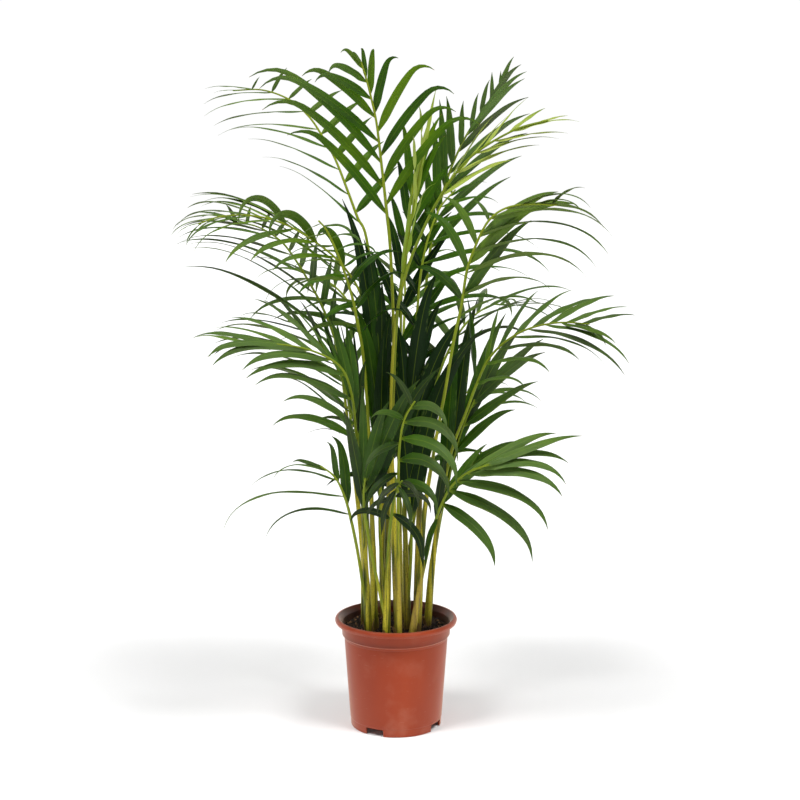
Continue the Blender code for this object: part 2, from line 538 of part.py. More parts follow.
FRONDS = tuple(rooted(frond) for frond in PLAN)


class Leaflet(NamedTuple):
    """One leaflet: its root, its first direction, its upper side, and how it bends."""
    frond: int
    root: Vector
    along: Vector
    upper: Vector
    length: float
    width: float
    droop: float
    curl: float
    twist: float
    bend: float
    skyward: float


class Spot(NamedTuple):
    """Where a leaflet grows: its frond, its distance along it, its share of its row, and its side."""
    frond: int
    mark: float
    share: float
    hand: int
    row: Row


def frond_spots(number, path, draw):
    """The spots of a frond's leaflets, from its foot to its tip on each side."""
    frond = FRONDS[number]
    pair = Row(frond.pairs, (), frond.droop, frond.width, frond.curl)
    rows = frond.rows or (pair, pair)
    first = frond.bare * path.length
    leafy = path.length - first
    spots = []
    for place, row in enumerate(rows):
        hand = 1 if place % 2 else -1
        for i in range(row.count):
            offset = PAIR_OFFSET * hand + draw.uniform(-PAIR_SCATTER, PAIR_SCATTER)
            along = max(0.0, min(1.0, (i + FIRST_LEAFLET + offset) / row.count))
            along = row.start + (row.end - row.start) * (1.0 - (1.0 - along) ** GATHER)
            mark = min(first + leafy * along, path.length - TIP_MARGIN)
            spots.append(Spot(number, mark, i / max(row.count - 1, 1), hand, row))
    return sorted(spots, key=lambda spot: spot.share)


def ruled_length(frond, share):
    """Leaflets are longest a third of the way up and short at the tip."""
    rise = min(share / LONGEST_PLACE, 1.0)
    fall = max(0.0, (share - LONGEST_PLACE) / (1.0 - LONGEST_PLACE))
    low = LOWEST_LENGTH + (1.0 - LOWEST_LENGTH) * math.sin(rise * math.pi / 2)
    high = 1.0 - TIP_SHORTENING * fall ** TIP_SHORTENING_POWER
    return frond.longest * low * high


def bent_slope(start, droop, curl, bend, share):
    """The slope part of the way along a leaflet, as its own weight bends it and its tip curls."""
    weight = UPRIGHT_WEIGHT + (1.0 - UPRIGHT_WEIGHT) * math.cos(start)
    tip = max(0.0, (share - CURL_START) / (1.0 - CURL_START))
    return max(start - droop * weight * share ** bend - curl * tip, -STEEPEST)


def aimed(reach, droop, curl, bend):
    """The first direction and the length of a leaflet whose tip lies a reach away from its root."""
    level = Vector((reach.x, reach.y, 0.0))
    wanted = math.atan2(reach.z, level.length)
    start = wanted + droop / 2
    for _ in range(AIM_ROUNDS):
        slopes = [bent_slope(start, droop, curl, bend, (i + 0.5) / AIM_STEPS) for i in range(AIM_STEPS)]
        run = sum(math.cos(slope) for slope in slopes) / AIM_STEPS
        rise = sum(math.sin(slope) for slope in slopes) / AIM_STEPS
        length = min(reach.length / math.hypot(run, rise), reach.length * LONGEST_DETOUR)
        start = min(start + wanted - math.atan2(rise, run), STEEPEST_START)
    return level.normalized() * math.cos(start) + UP * math.sin(start), length


def make_leaflet(spot, path, nature, change):
    """A leaflet at its spot, with its own nature and the change that keeps it clear."""
    frond = FRONDS[spot.frond]
    row = spot.row
    root, along = path.at(spot.mark)
    side, upper = frond_axes(frond, along)
    calm = CALM if row.tips else 1.0
    droop = math.radians(row.droop + nature.droop * calm)
    curl = math.radians(row.curl)
    if row.tips:
        first, length = aimed(smooth_route(row.tips, spot.share) - root, droop, curl, nature.bend)
        out = (first - along * first.dot(along)).normalized()
        spread = along.angle(first)
    else:
        length = ruled_length(frond, spot.share)
        lift = math.radians(frond.lift)
        out = side * (spot.hand * math.cos(lift)) + upper * math.sin(lift)
        spread = math.radians(frond.open_low + (frond.open_high - frond.open_low) * spot.share)
    spread += math.radians(nature.spread * calm + change.spread)
    turn = -spot.hand * math.radians(nature.lift * calm + change.lift)
    out = Quaternion(along, turn) @ out
    first = (along * math.cos(spread) + out * math.sin(spread)).normalized()
    upper = upper.lerp(FRONT, row.face)
    face = (upper - first * upper.dot(first)).normalized()
    length *= change.length * (1.0 + (nature.length - 1.0) * calm)
    width = row.width * change.width * (1.0 - TIP_NARROWING * spot.share ** 2)
    width = min(width, length * WIDEST_SHARE)
    droop += math.radians(change.droop)
    twist = math.radians(nature.twist) * (1.0 - row.face)
    return Leaflet(spot.frond, root, first, face, length, width, droop, curl, twist, nature.bend,
                   SKYWARD * (1.0 - row.face))


class Nature(NamedTuple):
    """How one leaflet differs from its neighbours."""
    spread: float
    lift: float
    droop: float
    length: float
    twist: float
    bend: float


def draw_nature(draw):
    """A leaflet's own small differences, in degrees and shares."""
    return Nature(*[draw.uniform(*limits) for limits in (SPREADS, LIFTS, DROOPS, LENGTHS, TWISTS, BENDS)])


def leaflet_frame(leaflet, share):
    """Direction and upper side part of the way along a leaflet."""
    level = Vector((leaflet.along.x, leaflet.along.y, 0.0))
    start = math.atan2(leaflet.along.z, level.length)
    if level.length < NEARLY_UPRIGHT:
        level = Vector((leaflet.upper.x, leaflet.upper.y, 0.0))
    heading = level.normalized()
    slope = bent_slope(start, leaflet.droop, leaflet.curl, leaflet.bend, share)
    along = heading * math.cos(slope) + UP * math.sin(slope)
    hanging = UP * math.cos(slope) - heading * math.sin(slope)
    blend = leaflet.skyward * min(1.0, share / SKYWARD_END)
    upper = leaflet.upper * (1.0 - blend) + hanging * blend
    upper = (upper - along * upper.dot(along)).normalized()
    return along, Quaternion(along, leaflet.twist * share) @ upper


def leaflet_line(leaflet, shares):
    """Places, directions and upper sides along a leaflet at the given shares of its length."""
    places = [leaflet.root]
    for i in range(BLADE_STEPS):
        along, _ = leaflet_frame(leaflet, (i + 0.5) / BLADE_STEPS)
        places.append(places[-1] + along * (leaflet.length / BLADE_STEPS))
    line = []
    for share in shares:
        step = min(int(share * BLADE_STEPS), BLADE_STEPS - 1)
        spot = places[step].lerp(places[step + 1], share * BLADE_STEPS - step)
        line.append((spot, *leaflet_frame(leaflet, share)))
    return line


def blade_shape(share):
    """The share of the full width: a narrow root, long level sides, and a long tip."""
    opened = math.sin(min(1.0, share / BLADE_RISE_END) * math.pi / 2)
    closed = max(0.0, (share - BLADE_FALL_START) / (1.0 - BLADE_FALL_START))
    sides = max(0.0, math.cos(closed * math.pi / 2)) ** BLADE_TIP_POWER
    return (BLADE_ROOT_SHARE + (1.0 - BLADE_ROOT_SHARE) * opened) * sides


def coarse_blade(leaflet, extra=0.0, skip=0.0):
    """Corners and triangles of a three-sided blade that tapers to a point."""
    stations = SHORT_STATIONS if leaflet.length < SHORT_BLADE else BLADE_STATIONS
    shares = [max(share, skip) for share in stations] + [1.0]
    line = leaflet_line(leaflet, shares)
    corners = []
    widths = []
    for share, (spot, along, upper) in zip(shares[:-1], line):
        right = upper.cross(along)
        half = leaflet.width / 2 * blade_shape(share) + extra
        top = BLADE_THICKNESS * (1.0 - BLADE_THINNING * share) / 2 + extra
        widths.append(right)
        side = right * half
        corners += [spot - side - upper * top, spot + side - upper * top, spot + upper * top]
    corners.append(line[-1][0])
    faces = [(1, 0, 2)]
    rows = len(shares) - 2
    for row in range(rows):
        turn = widths[row].cross(widths[row + 1]).dot(line[row][1])
        faces += prism_faces(3 * row, 3 * row + 3, turn > 0)
    last = 3 * rows
    tip = len(corners) - 1
    faces += [(last, last + 1, tip), (last + 1, last + 2, tip), (last + 2, last, tip)]
    return corners, faces


def prism_faces(near, far, clockwise):
    """The six triangles between two sections, split alike on every side so that they never cross."""
    left, right, top = near, near + 1, near + 2
    left_far, right_far, top_far = far, far + 1, far + 2
    if clockwise:
        return [(left, right, left_far), (right, right_far, left_far),
                (right, top_far, right_far), (right, top, top_far),
                (top, left_far, top_far), (top, left, left_far)]
    return [(left, right, right_far), (left, right_far, left_far),
            (right, top, right_far), (top, top_far, right_far),
            (top, left, top_far), (left, left_far, top_far)]


def stalk_radius(frond, path, mark):
    """The stem thins from the soil to the first leaflets and on to the tip."""
    first = frond.bare * path.length
    thick = CANE_RADIUS if frond.route[0][2] < SOIL_TOP else STALK_RADIUS * SIDE_STALK_SHARE
    if mark < first:
        start, end = STALK_TAPER
        return thick + (STALK_RADIUS - thick) * min(max((mark / first - start) / (end - start), 0.0), 1.0)
    return STALK_RADIUS + (MIDRIB_TIP_RADIUS - STALK_RADIUS) * (mark - first) / (path.length - first)


def tube_shape(places, radii, sides):
    """Corners and triangles of a plain tube, for finding what would cross it."""
    corners = []
    faces = []
    for i, place in enumerate(places):
        ahead = places[min(i + 1, len(places) - 1)] - places[max(i - 1, 0)]
        turn = ahead.to_track_quat("Z", "Y")
        for side in range(sides):
            angle = 2 * math.pi * side / sides
            offset = Vector((math.cos(angle), math.sin(angle), 0.0)) * radii[i]
            corners.append(place + turn @ offset)
    for i in range(len(places) - 1):
        for side in range(sides):
            a = i * sides + side
            b = i * sides + (side + 1) % sides
            faces += [(a, b, b + sides), (a, b + sides, a + sides)]
    return corners, faces


class Solid:
    """A shape with its search tree and its box."""

    def __init__(self, node, corners, faces):
        self.node = node
        self.tree = BVHTree.FromPolygons(corners, faces, all_triangles=True)
        self.low = [min(c[axis] for c in corners) for axis in range(3)]
        self.high = [max(c[axis] for c in corners) for axis in range(3)]

    def meets(self, other):
        """Whether the two shapes cross."""
        for axis in range(3):
            if self.low[axis] > other.high[axis] or other.low[axis] > self.high[axis]:
                return False
        return bool(self.tree.overlap(other.tree))


class Change(NamedTuple):
    """What is added to a leaflet's spread, lift and droop in degrees, and the shares kept of its size."""
    spread: float = 0.0
    lift: float = 0.0
    droop: float = 0.0
    length: float = 1.0
    width: float = 1.0


def all_changes():
    """The changes that a leaflet may need to stand clear, from the least to the greatest."""
    kinds = ((0.0, 1.0, 0.0), (0.0, -1.0, 0.0), (0.6, 0.0, 0.0), (-0.6, 0.0, 0.0),
             (0.0, 0.0, 1.0), (0.0, 0.0, -1.0), (0.5, 1.0, -1.0), (-0.5, -1.0, 1.0))
    changes = [Change()]
    for size in CHANGE_SIZES:
        for kind in kinds:
            changes.append(Change(*[part * size for part in kind]))
    return [change._replace(length=length, width=width) for length, width in KEPT_SHARES
            for change in changes]


CHANGES = all_changes()


def settle():
    """Place the leaflets one after another, each bent clear of all that stands already."""
    draw = random.Random(SEED)
    paths = [coarse_path(frond) for frond in FRONDS]
    standing = []
    for frond, path in zip(FRONDS, paths):
        radii = [stalk_radius(frond, path, mark) + ROOM for mark in path.marks]
        standing.append(Solid(frond.cane, *tube_shape(path.places, radii, STEM_TEST_SIDES)))
    leaflets = []
    for number, path in enumerate(paths):
        for spot in frond_spots(number, path, draw):
            found = best_leaflet(spot, path, draw_nature(draw), standing)
            if found and found[0].length > SHORTEST_LEAFLET:
                leaflets.append(found[0])
                standing.append(found[1])
    return paths, leaflets


def best_leaflet(spot, path, nature, standing):
    """The first change that keeps the leaflet clear, or clear of the other canes at least."""
    cane = FRONDS[spot.frond].cane
    spare = None
    for count, change in enumerate(CHANGES):
        if spare and count > PATIENCE:
            break
        leaflet = make_leaflet(spot, path, nature, change)
        whole = Solid(cane, *coarse_blade(leaflet, ROOM))
        free = Solid(cane, *coarse_blade(leaflet, ROOM, ROOT_STRETCH / leaflet.length))
        met = [other for other in standing if (free if other.node == cane else whole).meets(other)]
        if not met:
            return leaflet, whole
        if spare is None and all(other.node == cane for other in met):
            spare = (leaflet, whole)
    return spare


# Building

def mesh_object(name, corners, faces, collection):
    """An object from corners and triangles."""
    mesh = bpy.data.meshes.new(name)
    mesh.from_pydata([tuple(corner) for corner in corners], [], faces)
    mesh.update()
    item = bpy.data.objects.new(name, mesh)
    collection.objects.link(item)
    return item


def make_material(name, colour, roughness):
    """A plain Principled material."""
    material = bpy.data.materials.new(name)
    material.use_nodes = True
    shader = material.node_tree.nodes["Principled BSDF"]
    shader.inputs["Base Color"].default_value = (*colour, 1.0)
    shader.inputs["Roughness"].default_value = roughness
    shader.inputs["Metallic"].default_value = 0.0
    return material


def applied(item):
    """Swap the object's mesh for what its modifiers make of it."""
    bpy.context.view_layer.update()
    shaped = item.evaluated_get(bpy.context.evaluated_depsgraph_get())
    mesh = bpy.data.meshes.new_from_object(shaped)
    item.modifiers.clear()
    item.data = mesh


def turned(name, profile, steps, collection):
    """A body turned from a line of radius and height that starts and ends on the axis."""
    mesh = bpy.data.meshes.new(name)
    edges = [(i, i + 1) for i in range(len(profile) - 1)]
    mesh.from_pydata([(radius, 0.0, height) for radius, height in profile], edges, [])
    item = bpy.data.objects.new(name, mesh)
    collection.objects.link(item)
    screw = item.modifiers.new("turn", "SCREW")
    screw.steps = steps
    screw.render_steps = steps
    screw.use_merge_vertices = True
    screw.merge_threshold = MERGE
    return item


def cut(item, name, cutters):
    """Cut a collection's shapes out of the object with a modifier that stays on it."""
    knife = item.modifiers.new(name, "BOOLEAN")
    knife.operation = "DIFFERENCE"
    knife.operand_type = "COLLECTION"
    knife.collection = cutters
    knife.solver = "EXACT"


def cutter_collection(name, parent):
    """A collection for shapes that only cut."""
    cutters = bpy.data.collections.new(name)
    parent.children.link(cutters)
    cutters.hide_render = True
    return cutters


def into(item, collection):
    """Keep the object in one collection, shown as a wire if the collection only cuts."""
    for owner in list(item.users_collection):
        owner.objects.unlink(item)
    collection.objects.link(item)
    if collection.hide_render:
        item.display_type = "WIRE"
        item.hide_render = True
    return item


def tube(name, places, radii, collection):
    """A closed tube along the places, as a mesh."""
    curve = bpy.data.curves.new(name, "CURVE")
    curve.dimensions = "3D"
    curve.bevel_depth = 1.0
    curve.bevel_resolution = 0
    curve.use_fill_caps = True
    spline = curve.splines.new("POLY")
    spline.points.add(len(places) - 1)
    for point, place, radius in zip(spline.points, places, radii):
        point.co = (*place, 1.0)
        point.radius = radius
    drawn = bpy.data.objects.new(name + "_line", curve)
    collection.objects.link(drawn)
    bpy.context.view_layer.update()
    mesh = bpy.data.meshes.new_from_object(drawn.evaluated_get(bpy.context.evaluated_depsgraph_get()))
    shape = bmesh.new()
    shape.from_mesh(mesh)
    bmesh.ops.remove_doubles(shape, verts=shape.verts, dist=MERGE)
    shape.to_mesh(mesh)
    shape.free()
    item = bpy.data.objects.new(name, mesh)
    item.matrix_world = drawn.matrix_world
    collection.objects.link(item)
    bpy.data.objects.remove(drawn)
    return item


def inner_wall(gap):
    """The line up the pot's inside, from its floor to the underside of its lip, moved in by a gap."""
    under_lip = POT_HEIGHT - LIP_HEIGHT
    under_band = under_lip - BAND_HEIGHT
    return [
        (FOOT_RADIUS - WALL - gap, FLOOR_LIFT + FLOOR_THICKNESS + gap),
        (BODY_TOP_RADIUS - WALL - gap, under_band),
        (BAND_RADIUS - 2 * WALL - gap, under_band + WALL),
        (BAND_RADIUS - WALL - gap, under_lip),
    ]


def build_pot(collection, cutters):
    """The nursery pot: lip, band, tapered wall, raised floor and notched foot."""
    under_lip = POT_HEIGHT - LIP_HEIGHT
    under_band = under_lip - BAND_HEIGHT
    floor_top = FLOOR_LIFT + FLOOR_THICKNESS
    profile = [
        (0.0, floor_top),
        *inner_wall(0.0),
        *[(LIP_RADIUS - LIP_WIDTH * inward, POT_HEIGHT - LIP_HEIGHT * down) for inward, down in LIP_CORNERS],
        (BAND_RADIUS, under_lip),
        (BAND_RADIUS - WALL, under_band),
        (BODY_TOP_RADIUS, under_band - WALL),
        (FOOT_RADIUS, 0.0),
        (FOOT_RADIUS - FOOT_WIDTH, 0.0),
        (FOOT_RADIUS - FOOT_WIDTH, FLOOR_LIFT),
        (0.0, FLOOR_LIFT),
    ]
    pot = turned("pot", profile, POT_SIDES, collection)
    for i in range(NOTCHES):
        angle = NOTCH_FIRST + 2 * math.pi * i / NOTCHES
        bpy.ops.mesh.primitive_cube_add(size=1.0)
        notch = into(bpy.context.object, cutters)
        notch.name = "notch_cutter_" + str(i + 1)
        notch.scale = (NOTCH_DEPTH, 2 * FOOT_RADIUS * math.sin(NOTCH_ARC / 2), NOTCH_HEIGHT * 2)
        notch.location = (FOOT_RADIUS * math.cos(angle), FOOT_RADIUS * math.sin(angle), 0.0)
        notch.rotation_euler = (0.0, 0.0, angle)
        bpy.ops.mesh.primitive_cube_add(size=1.0)
        drain = into(bpy.context.object, cutters)
        drain.name = "drain_cutter_" + str(i + 1)
        drain.scale = (DRAIN_WIDTH, DRAIN_LENGTH, FLOOR_THICKNESS * 3)
        drain.location = (DRAIN_RADIUS * math.cos(angle), DRAIN_RADIUS * math.sin(angle), FLOOR_LIFT)
        drain.rotation_euler = (0.0, 0.0, angle)
    cut(pot, "notches and drains", cutters)
    return pot


def build_soil(collection, cutters):
    """The potting mix, with a plain hole for each cane."""
    wall = inner_wall(GAP / math.cos(math.pi / POT_SIDES) * WALL_SLOPE_SHARE)
    (step_radius, step), (lip_radius, under_lip) = wall[2:]
    edge = SOIL_TOP - SOIL_CROWN
    edge_radius = step_radius + (lip_radius - step_radius) * (edge - step) / (under_lip - step)
    profile = [(0.0, wall[0][1]), *wall[:3], (edge_radius, edge), (edge_radius * SOIL_CROWN_SHARE, SOIL_TOP),
               (0.0, SOIL_TOP)]
    soil = turned("soil", profile[::-1], POT_SIDES, collection)
    radius = (CANE_RADIUS + GAP) / math.cos(math.pi / HOLE_SIDES)
    for cane, (x, y) in CANE_FEET.items():
        bpy.ops.mesh.primitive_cylinder_add(vertices=HOLE_SIDES, radius=radius, depth=2 * HOLE_DEPTH)
        hole = into(bpy.context.object, cutters)
        hole.name = cane + "_hole_cutter"
        hole.location = (x, y, SOIL_TOP)
    cut(soil, "cane holes", cutters)
    return soil


def build_cane(cane, paths, leaflets, collection):
    """One cane with its fronds, fused to one body."""
    pieces = bpy.data.collections.new(cane + "_pieces")
    bpy.context.scene.collection.children.link(pieces)
    item = None
    for number, (frond, path) in enumerate(zip(FRONDS, paths)):
        if frond.cane != cane:
            continue
        radii = [stalk_radius(frond, path, mark) for mark in path.marks]
        places = list(path.places)
        if item is None:
            foot = Vector((*CANE_FEET[cane], SOIL_TOP - HOLE_DEPTH + GAP))
            item = tube(cane, [foot] + places, radii[:1] + radii, collection)
        else:
            tube(cane + "_side", places, radii, pieces)
        for leaflet in leaflets:
            if leaflet.frond == number:
                mesh_object(cane + "_leaflet", *coarse_blade(leaflet), pieces)
    fuse(item, pieces)
    return item


def fuse(item, pieces):
    """Join the collection's pieces to the object, with the second solver where the first leaves a gap."""
    before = item.data
    for solver in ("EXACT", "MANIFOLD"):
        item.data = before
        join = item.modifiers.new("fuse", "BOOLEAN")
        join.operation = "UNION"
        join.operand_type = "COLLECTION"
        join.collection = pieces
        join.solver = solver
        applied(item)
        if is_closed(item.data):
            break
    for piece in list(pieces.objects):
        bpy.data.objects.remove(piece)
    bpy.data.collections.remove(pieces)


def is_closed(mesh):
    """Whether the mesh, cut to triangles, has two faces at every edge and is one body."""
    shape = bmesh.new()
    shape.from_mesh(mesh)
    bmesh.ops.triangulate(shape, faces=shape.faces)
    shape.faces.ensure_lookup_table()
    closed = all(edge.is_manifold for edge in shape.edges)
    reached = {shape.faces[0]}
    front = list(reached)
    while front:
        for edge in front.pop().edges:
            for face in edge.link_faces:
                if face not in reached:
                    reached.add(face)
                    front.append(face)
    whole = len(reached) == len(shape.faces)
    shape.free()
    return closed and whole


def main():
    """Clear the scene and build the palm."""
    for item in list(bpy.data.objects):
        bpy.data.objects.remove(item)
    palm = bpy.data.collections.new("potted_palm")
    bpy.context.scene.collection.children.link(palm)
    notches = cutter_collection("pot_cutters", bpy.context.scene.collection)
    holes = cutter_collection("soil_cutters", bpy.context.scene.collection)
    pot = build_pot(palm, notches)
    pot.data.materials.append(make_material("pot", POT_COLOUR, POT_ROUGHNESS))
    soil = build_soil(palm, holes)
    soil.data.materials.append(make_material("soil", SOIL_COLOUR, SOIL_ROUGHNESS))
    paths, leaflets = settle()
    print("leaflets", len(leaflets))
    for cane in CANE_FEET:
        item = build_cane(cane, paths, leaflets, palm)
        item.data.materials.clear()
        item.data.materials.append(make_material(cane, LEAF_COLOUR, LEAF_ROUGHNESS))
    axis = bpy.data.objects.new("pot_axis", None)
    palm.objects.link(axis)
    for item in list(palm.objects) + list(notches.objects) + list(holes.objects):
        if item != axis:
            item.parent = axis
    axis.location = POT_AXIS


main()
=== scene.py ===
import json
import random
from bisect import bisect_left
from collections import namedtuple
from math import acos, atan2, copysign, cos, hypot, pi, radians, sin, sqrt, tan

import bmesh
import bpy
from mathutils import Matrix, Quaternion, Vector, noise
from mathutils.bvhtree import BVHTree

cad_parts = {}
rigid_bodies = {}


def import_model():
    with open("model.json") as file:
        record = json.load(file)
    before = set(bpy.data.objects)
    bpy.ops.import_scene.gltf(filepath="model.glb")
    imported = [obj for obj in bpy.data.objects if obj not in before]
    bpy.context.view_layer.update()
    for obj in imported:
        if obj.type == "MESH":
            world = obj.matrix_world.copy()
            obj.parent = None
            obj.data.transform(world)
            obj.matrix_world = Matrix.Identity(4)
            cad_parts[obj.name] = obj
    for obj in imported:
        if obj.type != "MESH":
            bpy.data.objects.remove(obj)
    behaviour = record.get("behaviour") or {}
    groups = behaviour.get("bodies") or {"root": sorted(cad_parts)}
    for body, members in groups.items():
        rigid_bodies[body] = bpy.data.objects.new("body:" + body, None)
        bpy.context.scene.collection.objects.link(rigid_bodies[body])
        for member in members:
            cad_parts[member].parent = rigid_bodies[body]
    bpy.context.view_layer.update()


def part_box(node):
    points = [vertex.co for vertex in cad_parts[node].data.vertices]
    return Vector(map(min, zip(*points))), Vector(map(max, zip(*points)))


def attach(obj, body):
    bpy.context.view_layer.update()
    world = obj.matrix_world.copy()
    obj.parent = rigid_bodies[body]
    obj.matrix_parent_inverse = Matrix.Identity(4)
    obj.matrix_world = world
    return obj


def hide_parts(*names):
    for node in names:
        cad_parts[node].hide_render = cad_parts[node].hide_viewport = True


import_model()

# Driving dimensions, in metres, as in the solids that these pieces replace

POT_HEIGHT = 0.189
LIP_RADIUS = 0.105
LIP_HEIGHT = 0.009
LIP_WIDTH = 0.009
BAND_HEIGHT = 0.021
BAND_RADIUS = 0.0936
BODY_TOP_RADIUS = 0.0892
FOOT_RADIUS = 0.0782
WALL = 0.0018
FLOOR_LIFT = 0.014
FLOOR_THICKNESS = 0.002
FOOT_WIDTH = 0.004
NOTCHES = 4
NOTCH_ARC = radians(24.0)
NOTCH_FIRST = radians(-118.0)
NOTCH_HEIGHT = 0.012
NOTCH_DEPTH = 0.020
DRAIN_RADIUS = 0.060
DRAIN_WIDTH = 0.008
DRAIN_LENGTH = 0.022

# The lip's corners: the shares of its width in from the outside and of its height down, and the fillet
LIP_CORNERS = ((1.0, 0.3, 0.0016), (0.7, 0.0, 0.0016), (0.2, 0.1, 0.0016), (0.0, 0.5, 0.0016),
               (0.15, 1.0, 0.0009))

SOIL_TOP = 0.172
SOIL_CROWN = 0.003
SOIL_CROWN_SHARE = 0.75
GAP = 0.0003
WALL_SLOPE_SHARE = 1.1

CANE_RADIUS = 0.0052
STALK_RADIUS = 0.0026
SIDE_STALK_SHARE = 1.15
MIDRIB_TIP_RADIUS = 0.0014
STALK_TAPER = (0.12, 0.55)
STALK_STEP = 0.110
RIB_STEP = 0.055
FINE_STEPS = 24

# A leaflet's blade: the shares of its width at the root and of its length where the sides turn
BLADE_ROOT_SHARE = 0.18
BLADE_RISE_END = 0.24
BLADE_FALL_START = 0.42
BLADE_TIP_POWER = 0.95
BLADE_THICKNESS = 0.0020
BLADE_THINNING = 0.3
BLADE_STATIONS = (0.0, 0.28, 0.68)
SHORT_BLADE = 0.130
SHORT_STATIONS = (0.0, 0.42)
BLADE_STEPS = 24

# How the leaflets stand along a frond: closer towards its tip, and longest a third of the way up
FIRST_LEAFLET = 0.35
GATHER = 1.3
PAIR_OFFSET = 0.18
PAIR_SCATTER = 0.08
TIP_MARGIN = 0.002
SHORTEST_LEAFLET = 0.024
TIP_NARROWING = 0.25
WIDEST_SHARE = 0.13
LOWEST_LENGTH = 0.74
LONGEST_PLACE = 0.35
TIP_SHORTENING = 0.50
TIP_SHORTENING_POWER = 1.6

# How much the leaflets differ, in degrees, in shares of the length and in powers of the bend
SPREADS = (-5, 5)
LIFTS = (-9, 9)
DROOPS = (-16, 18)
LENGTHS = (0.90, 1.08)
TWISTS = (-38, 38)
BENDS = (1.1, 2.2)

# How much of those differences an aimed leaflet has, and how its aim is found
CALM = 0.4
AIM_ROUNDS = 8
AIM_STEPS = 12
STEEPEST_START = radians(86.0)
LONGEST_DETOUR = 1.7

# How a leaflet's own weight bends it and turns its upper side to the sky
UPRIGHT_WEIGHT = 0.45
STEEPEST = radians(84.0)
CURL_START = 0.72
SKYWARD = 0.62
SKYWARD_END = 0.625
NEARLY_UPRIGHT = 0.02

# The turns in degrees and the shares of length and width that are tried to keep a leaflet clear, and how
# many of them are tried before it may touch a leaflet of its own cane
CHANGE_SIZES = (5.0, 10.0, 16.0, 24.0)
KEPT_SHARES = ((1.0, 1.0), (1.0, 0.6), (0.7, 0.6))
PATIENCE = 24

# The room kept between neighbours, and the stretch of a leaflet that may touch its own stem
ROOM = 0.0006
ROOT_STRETCH = 0.014
STEM_TEST_SIDES = 6
SEED = 7

# The fine meshes' own sizes

LEAF_ROWS = 18
SECTION = (-1.0, -0.62, -0.28, 0.0, 0.28, 0.62, 1.0)
LEAF_THICKNESS = 0.0006
LEAF_THINNING = 0.6
EDGE_THINNING = 0.5
TIP_HALF_WIDTH = 0.0003
FOLD = 0.20
FOLD_POWER = 1.2
ROOT_FOLD = 0.6
ROOT_FOLD_END = 0.25
EDGE_WAVE = 0.10
EDGE_WAVES = (1.5, 3.5)
EDGE_WAVE_START = 0.25
PLEAT = 0.035
PLEAT_TURNS = 9.4
BOW = 0.02
ROOT_PULL = 0.3
RIB_TURNS = 2 * pi * 9
STEM_SIDES = 12
SHEATH_ENDS = (0.30, 0.50, 0.68)
SHEATH_SCATTER = 0.03
SHEATH_LIP = 0.0015
SHEATH_THICKNESS = 0.08
GROOVE = 0.45
GROOVE_START = 0.7
GROOVE_POWER = 4
HUSKS = (1, 2)
HUSK_ROWS = 5
HUSK_SIDES = 6
HUSK_HEIGHTS = (0.012, 0.034)
HUSK_ARCS = (1.5, 2.4)
HUSK_TIP_ARC = 0.12
HUSK_THICKNESS = 0.0005
HUSK_LEAN = 0.0035
HUSK_DEPTH = 0.004
HUSK_GAP = 0.0006
HUSK_FOOT = 1.12
HUSK_NARROWING = 0.7
HUSK_TINT = (0.3, 0.5, 1.0, 1.0)
FILLET_STEPS = 5
POT_TURNS = 160
POT_CREASE = 40.0
CUT_FILLET = 0.0018
CUT_STEPS = 4
FLOOR_FILLET = 0.0006
WALL_FILLET = 0.001
UNDER_LIP_FILLETS = (0.0008, 0.0006)
LEDGE_FILLET = 0.0005
LEDGE_RISE = 0.0008
LEDGE_OVERHANG = 0.0002
LINE_DROP = 0.006
LINE_DEPTH = 0.0003
LINE_HALF = 0.0006
FOOT_STEP_HEIGHT = 0.0135
FOOT_STEP = 0.0005
FOOT_STEP_FILLET = 0.0004
FOOT_DRAFT = 0.0003
FOOT_FILLETS = (0.0007, 0.0008)
SOIL_ROWS = 44
SOIL_TURNS = 150

# The lumps of the soil: how many to a metre, and their height
LUMPS = ((70.0, 0.0022), (230.0, 0.0012), (600.0, 0.0005))

# Crumbs and fibres on the soil, and the room they keep from its edge
CRUMBS = 1500
CRUMB_EDGE = 0.004
CRUMB_SIZES = (0.0008, 0.0011, 0.0014, 0.0019, 0.0026)
CRUMB_SPREAD = (0.8, 1.25)
CRUMB_KNOCKS = (0.8, 1.15)
CRUMB_STRETCHES = ((0.7, 1.6), (0.7, 1.3), (0.5, 0.9))
CRUMB_TONES = (0.0, 0.0, 0.0, 0.15, 0.3, 0.45, 0.8)
CRUMB_TONED = 0.7
CRUMB_LIFT = 0.3
FIBRES = 70
FIBRE_EDGE = 0.012
FIBRE_STEPS = 6
FIBRE_SIDES = 3
FIBRE_BEND = 2.2
FIBRE_LENGTHS = (0.005, 0.016)
FIBRE_RADII = (0.00025, 0.00055)
FIBRE_LIFT = 0.0006
FIBRE_ARCH = 0.0018
FIBRE_TONE = 0.8

# Painted shade at the heart of the clump, where the leaves shade each other: its reach sideways, how much
# less depth counts, and where it ends above.
# A leaflet's place in it is measured part of the way along.
PAINTED_SHADE_REACH = 0.18
HEART_DEPTH = 0.4
HEART_PLACE = 0.4
HEART_TOP = 0.84
HEART_FADE = 0.12
TONES = (0.2, 0.8)
TONE_SCATTER = 0.12

# Leaf colours as they show on a screen: dark, middle, light, the vein and the underside
MATURE = ((16, 38, 0), (52, 86, 0), (86, 116, 12), (122, 146, 30), (98, 116, 54))
YOUNG = ((122, 146, 46), (160, 176, 78), (182, 192, 106), (182, 190, 104), (144, 160, 84))

# Where the painted grey sheen of the outer leaflets starts and is full, and its share
PAINTED_SHEEN_ENDS = (0.09, 0.24)
PAINTED_SHEEN_SHARE = 0.10

# The edge of the soil stain and painted shade inside the pot, and its reach over the lip
STAIN_AND_SHADE_EDGE = 0.002
STAIN_AND_SHADE_REACH = 0.62

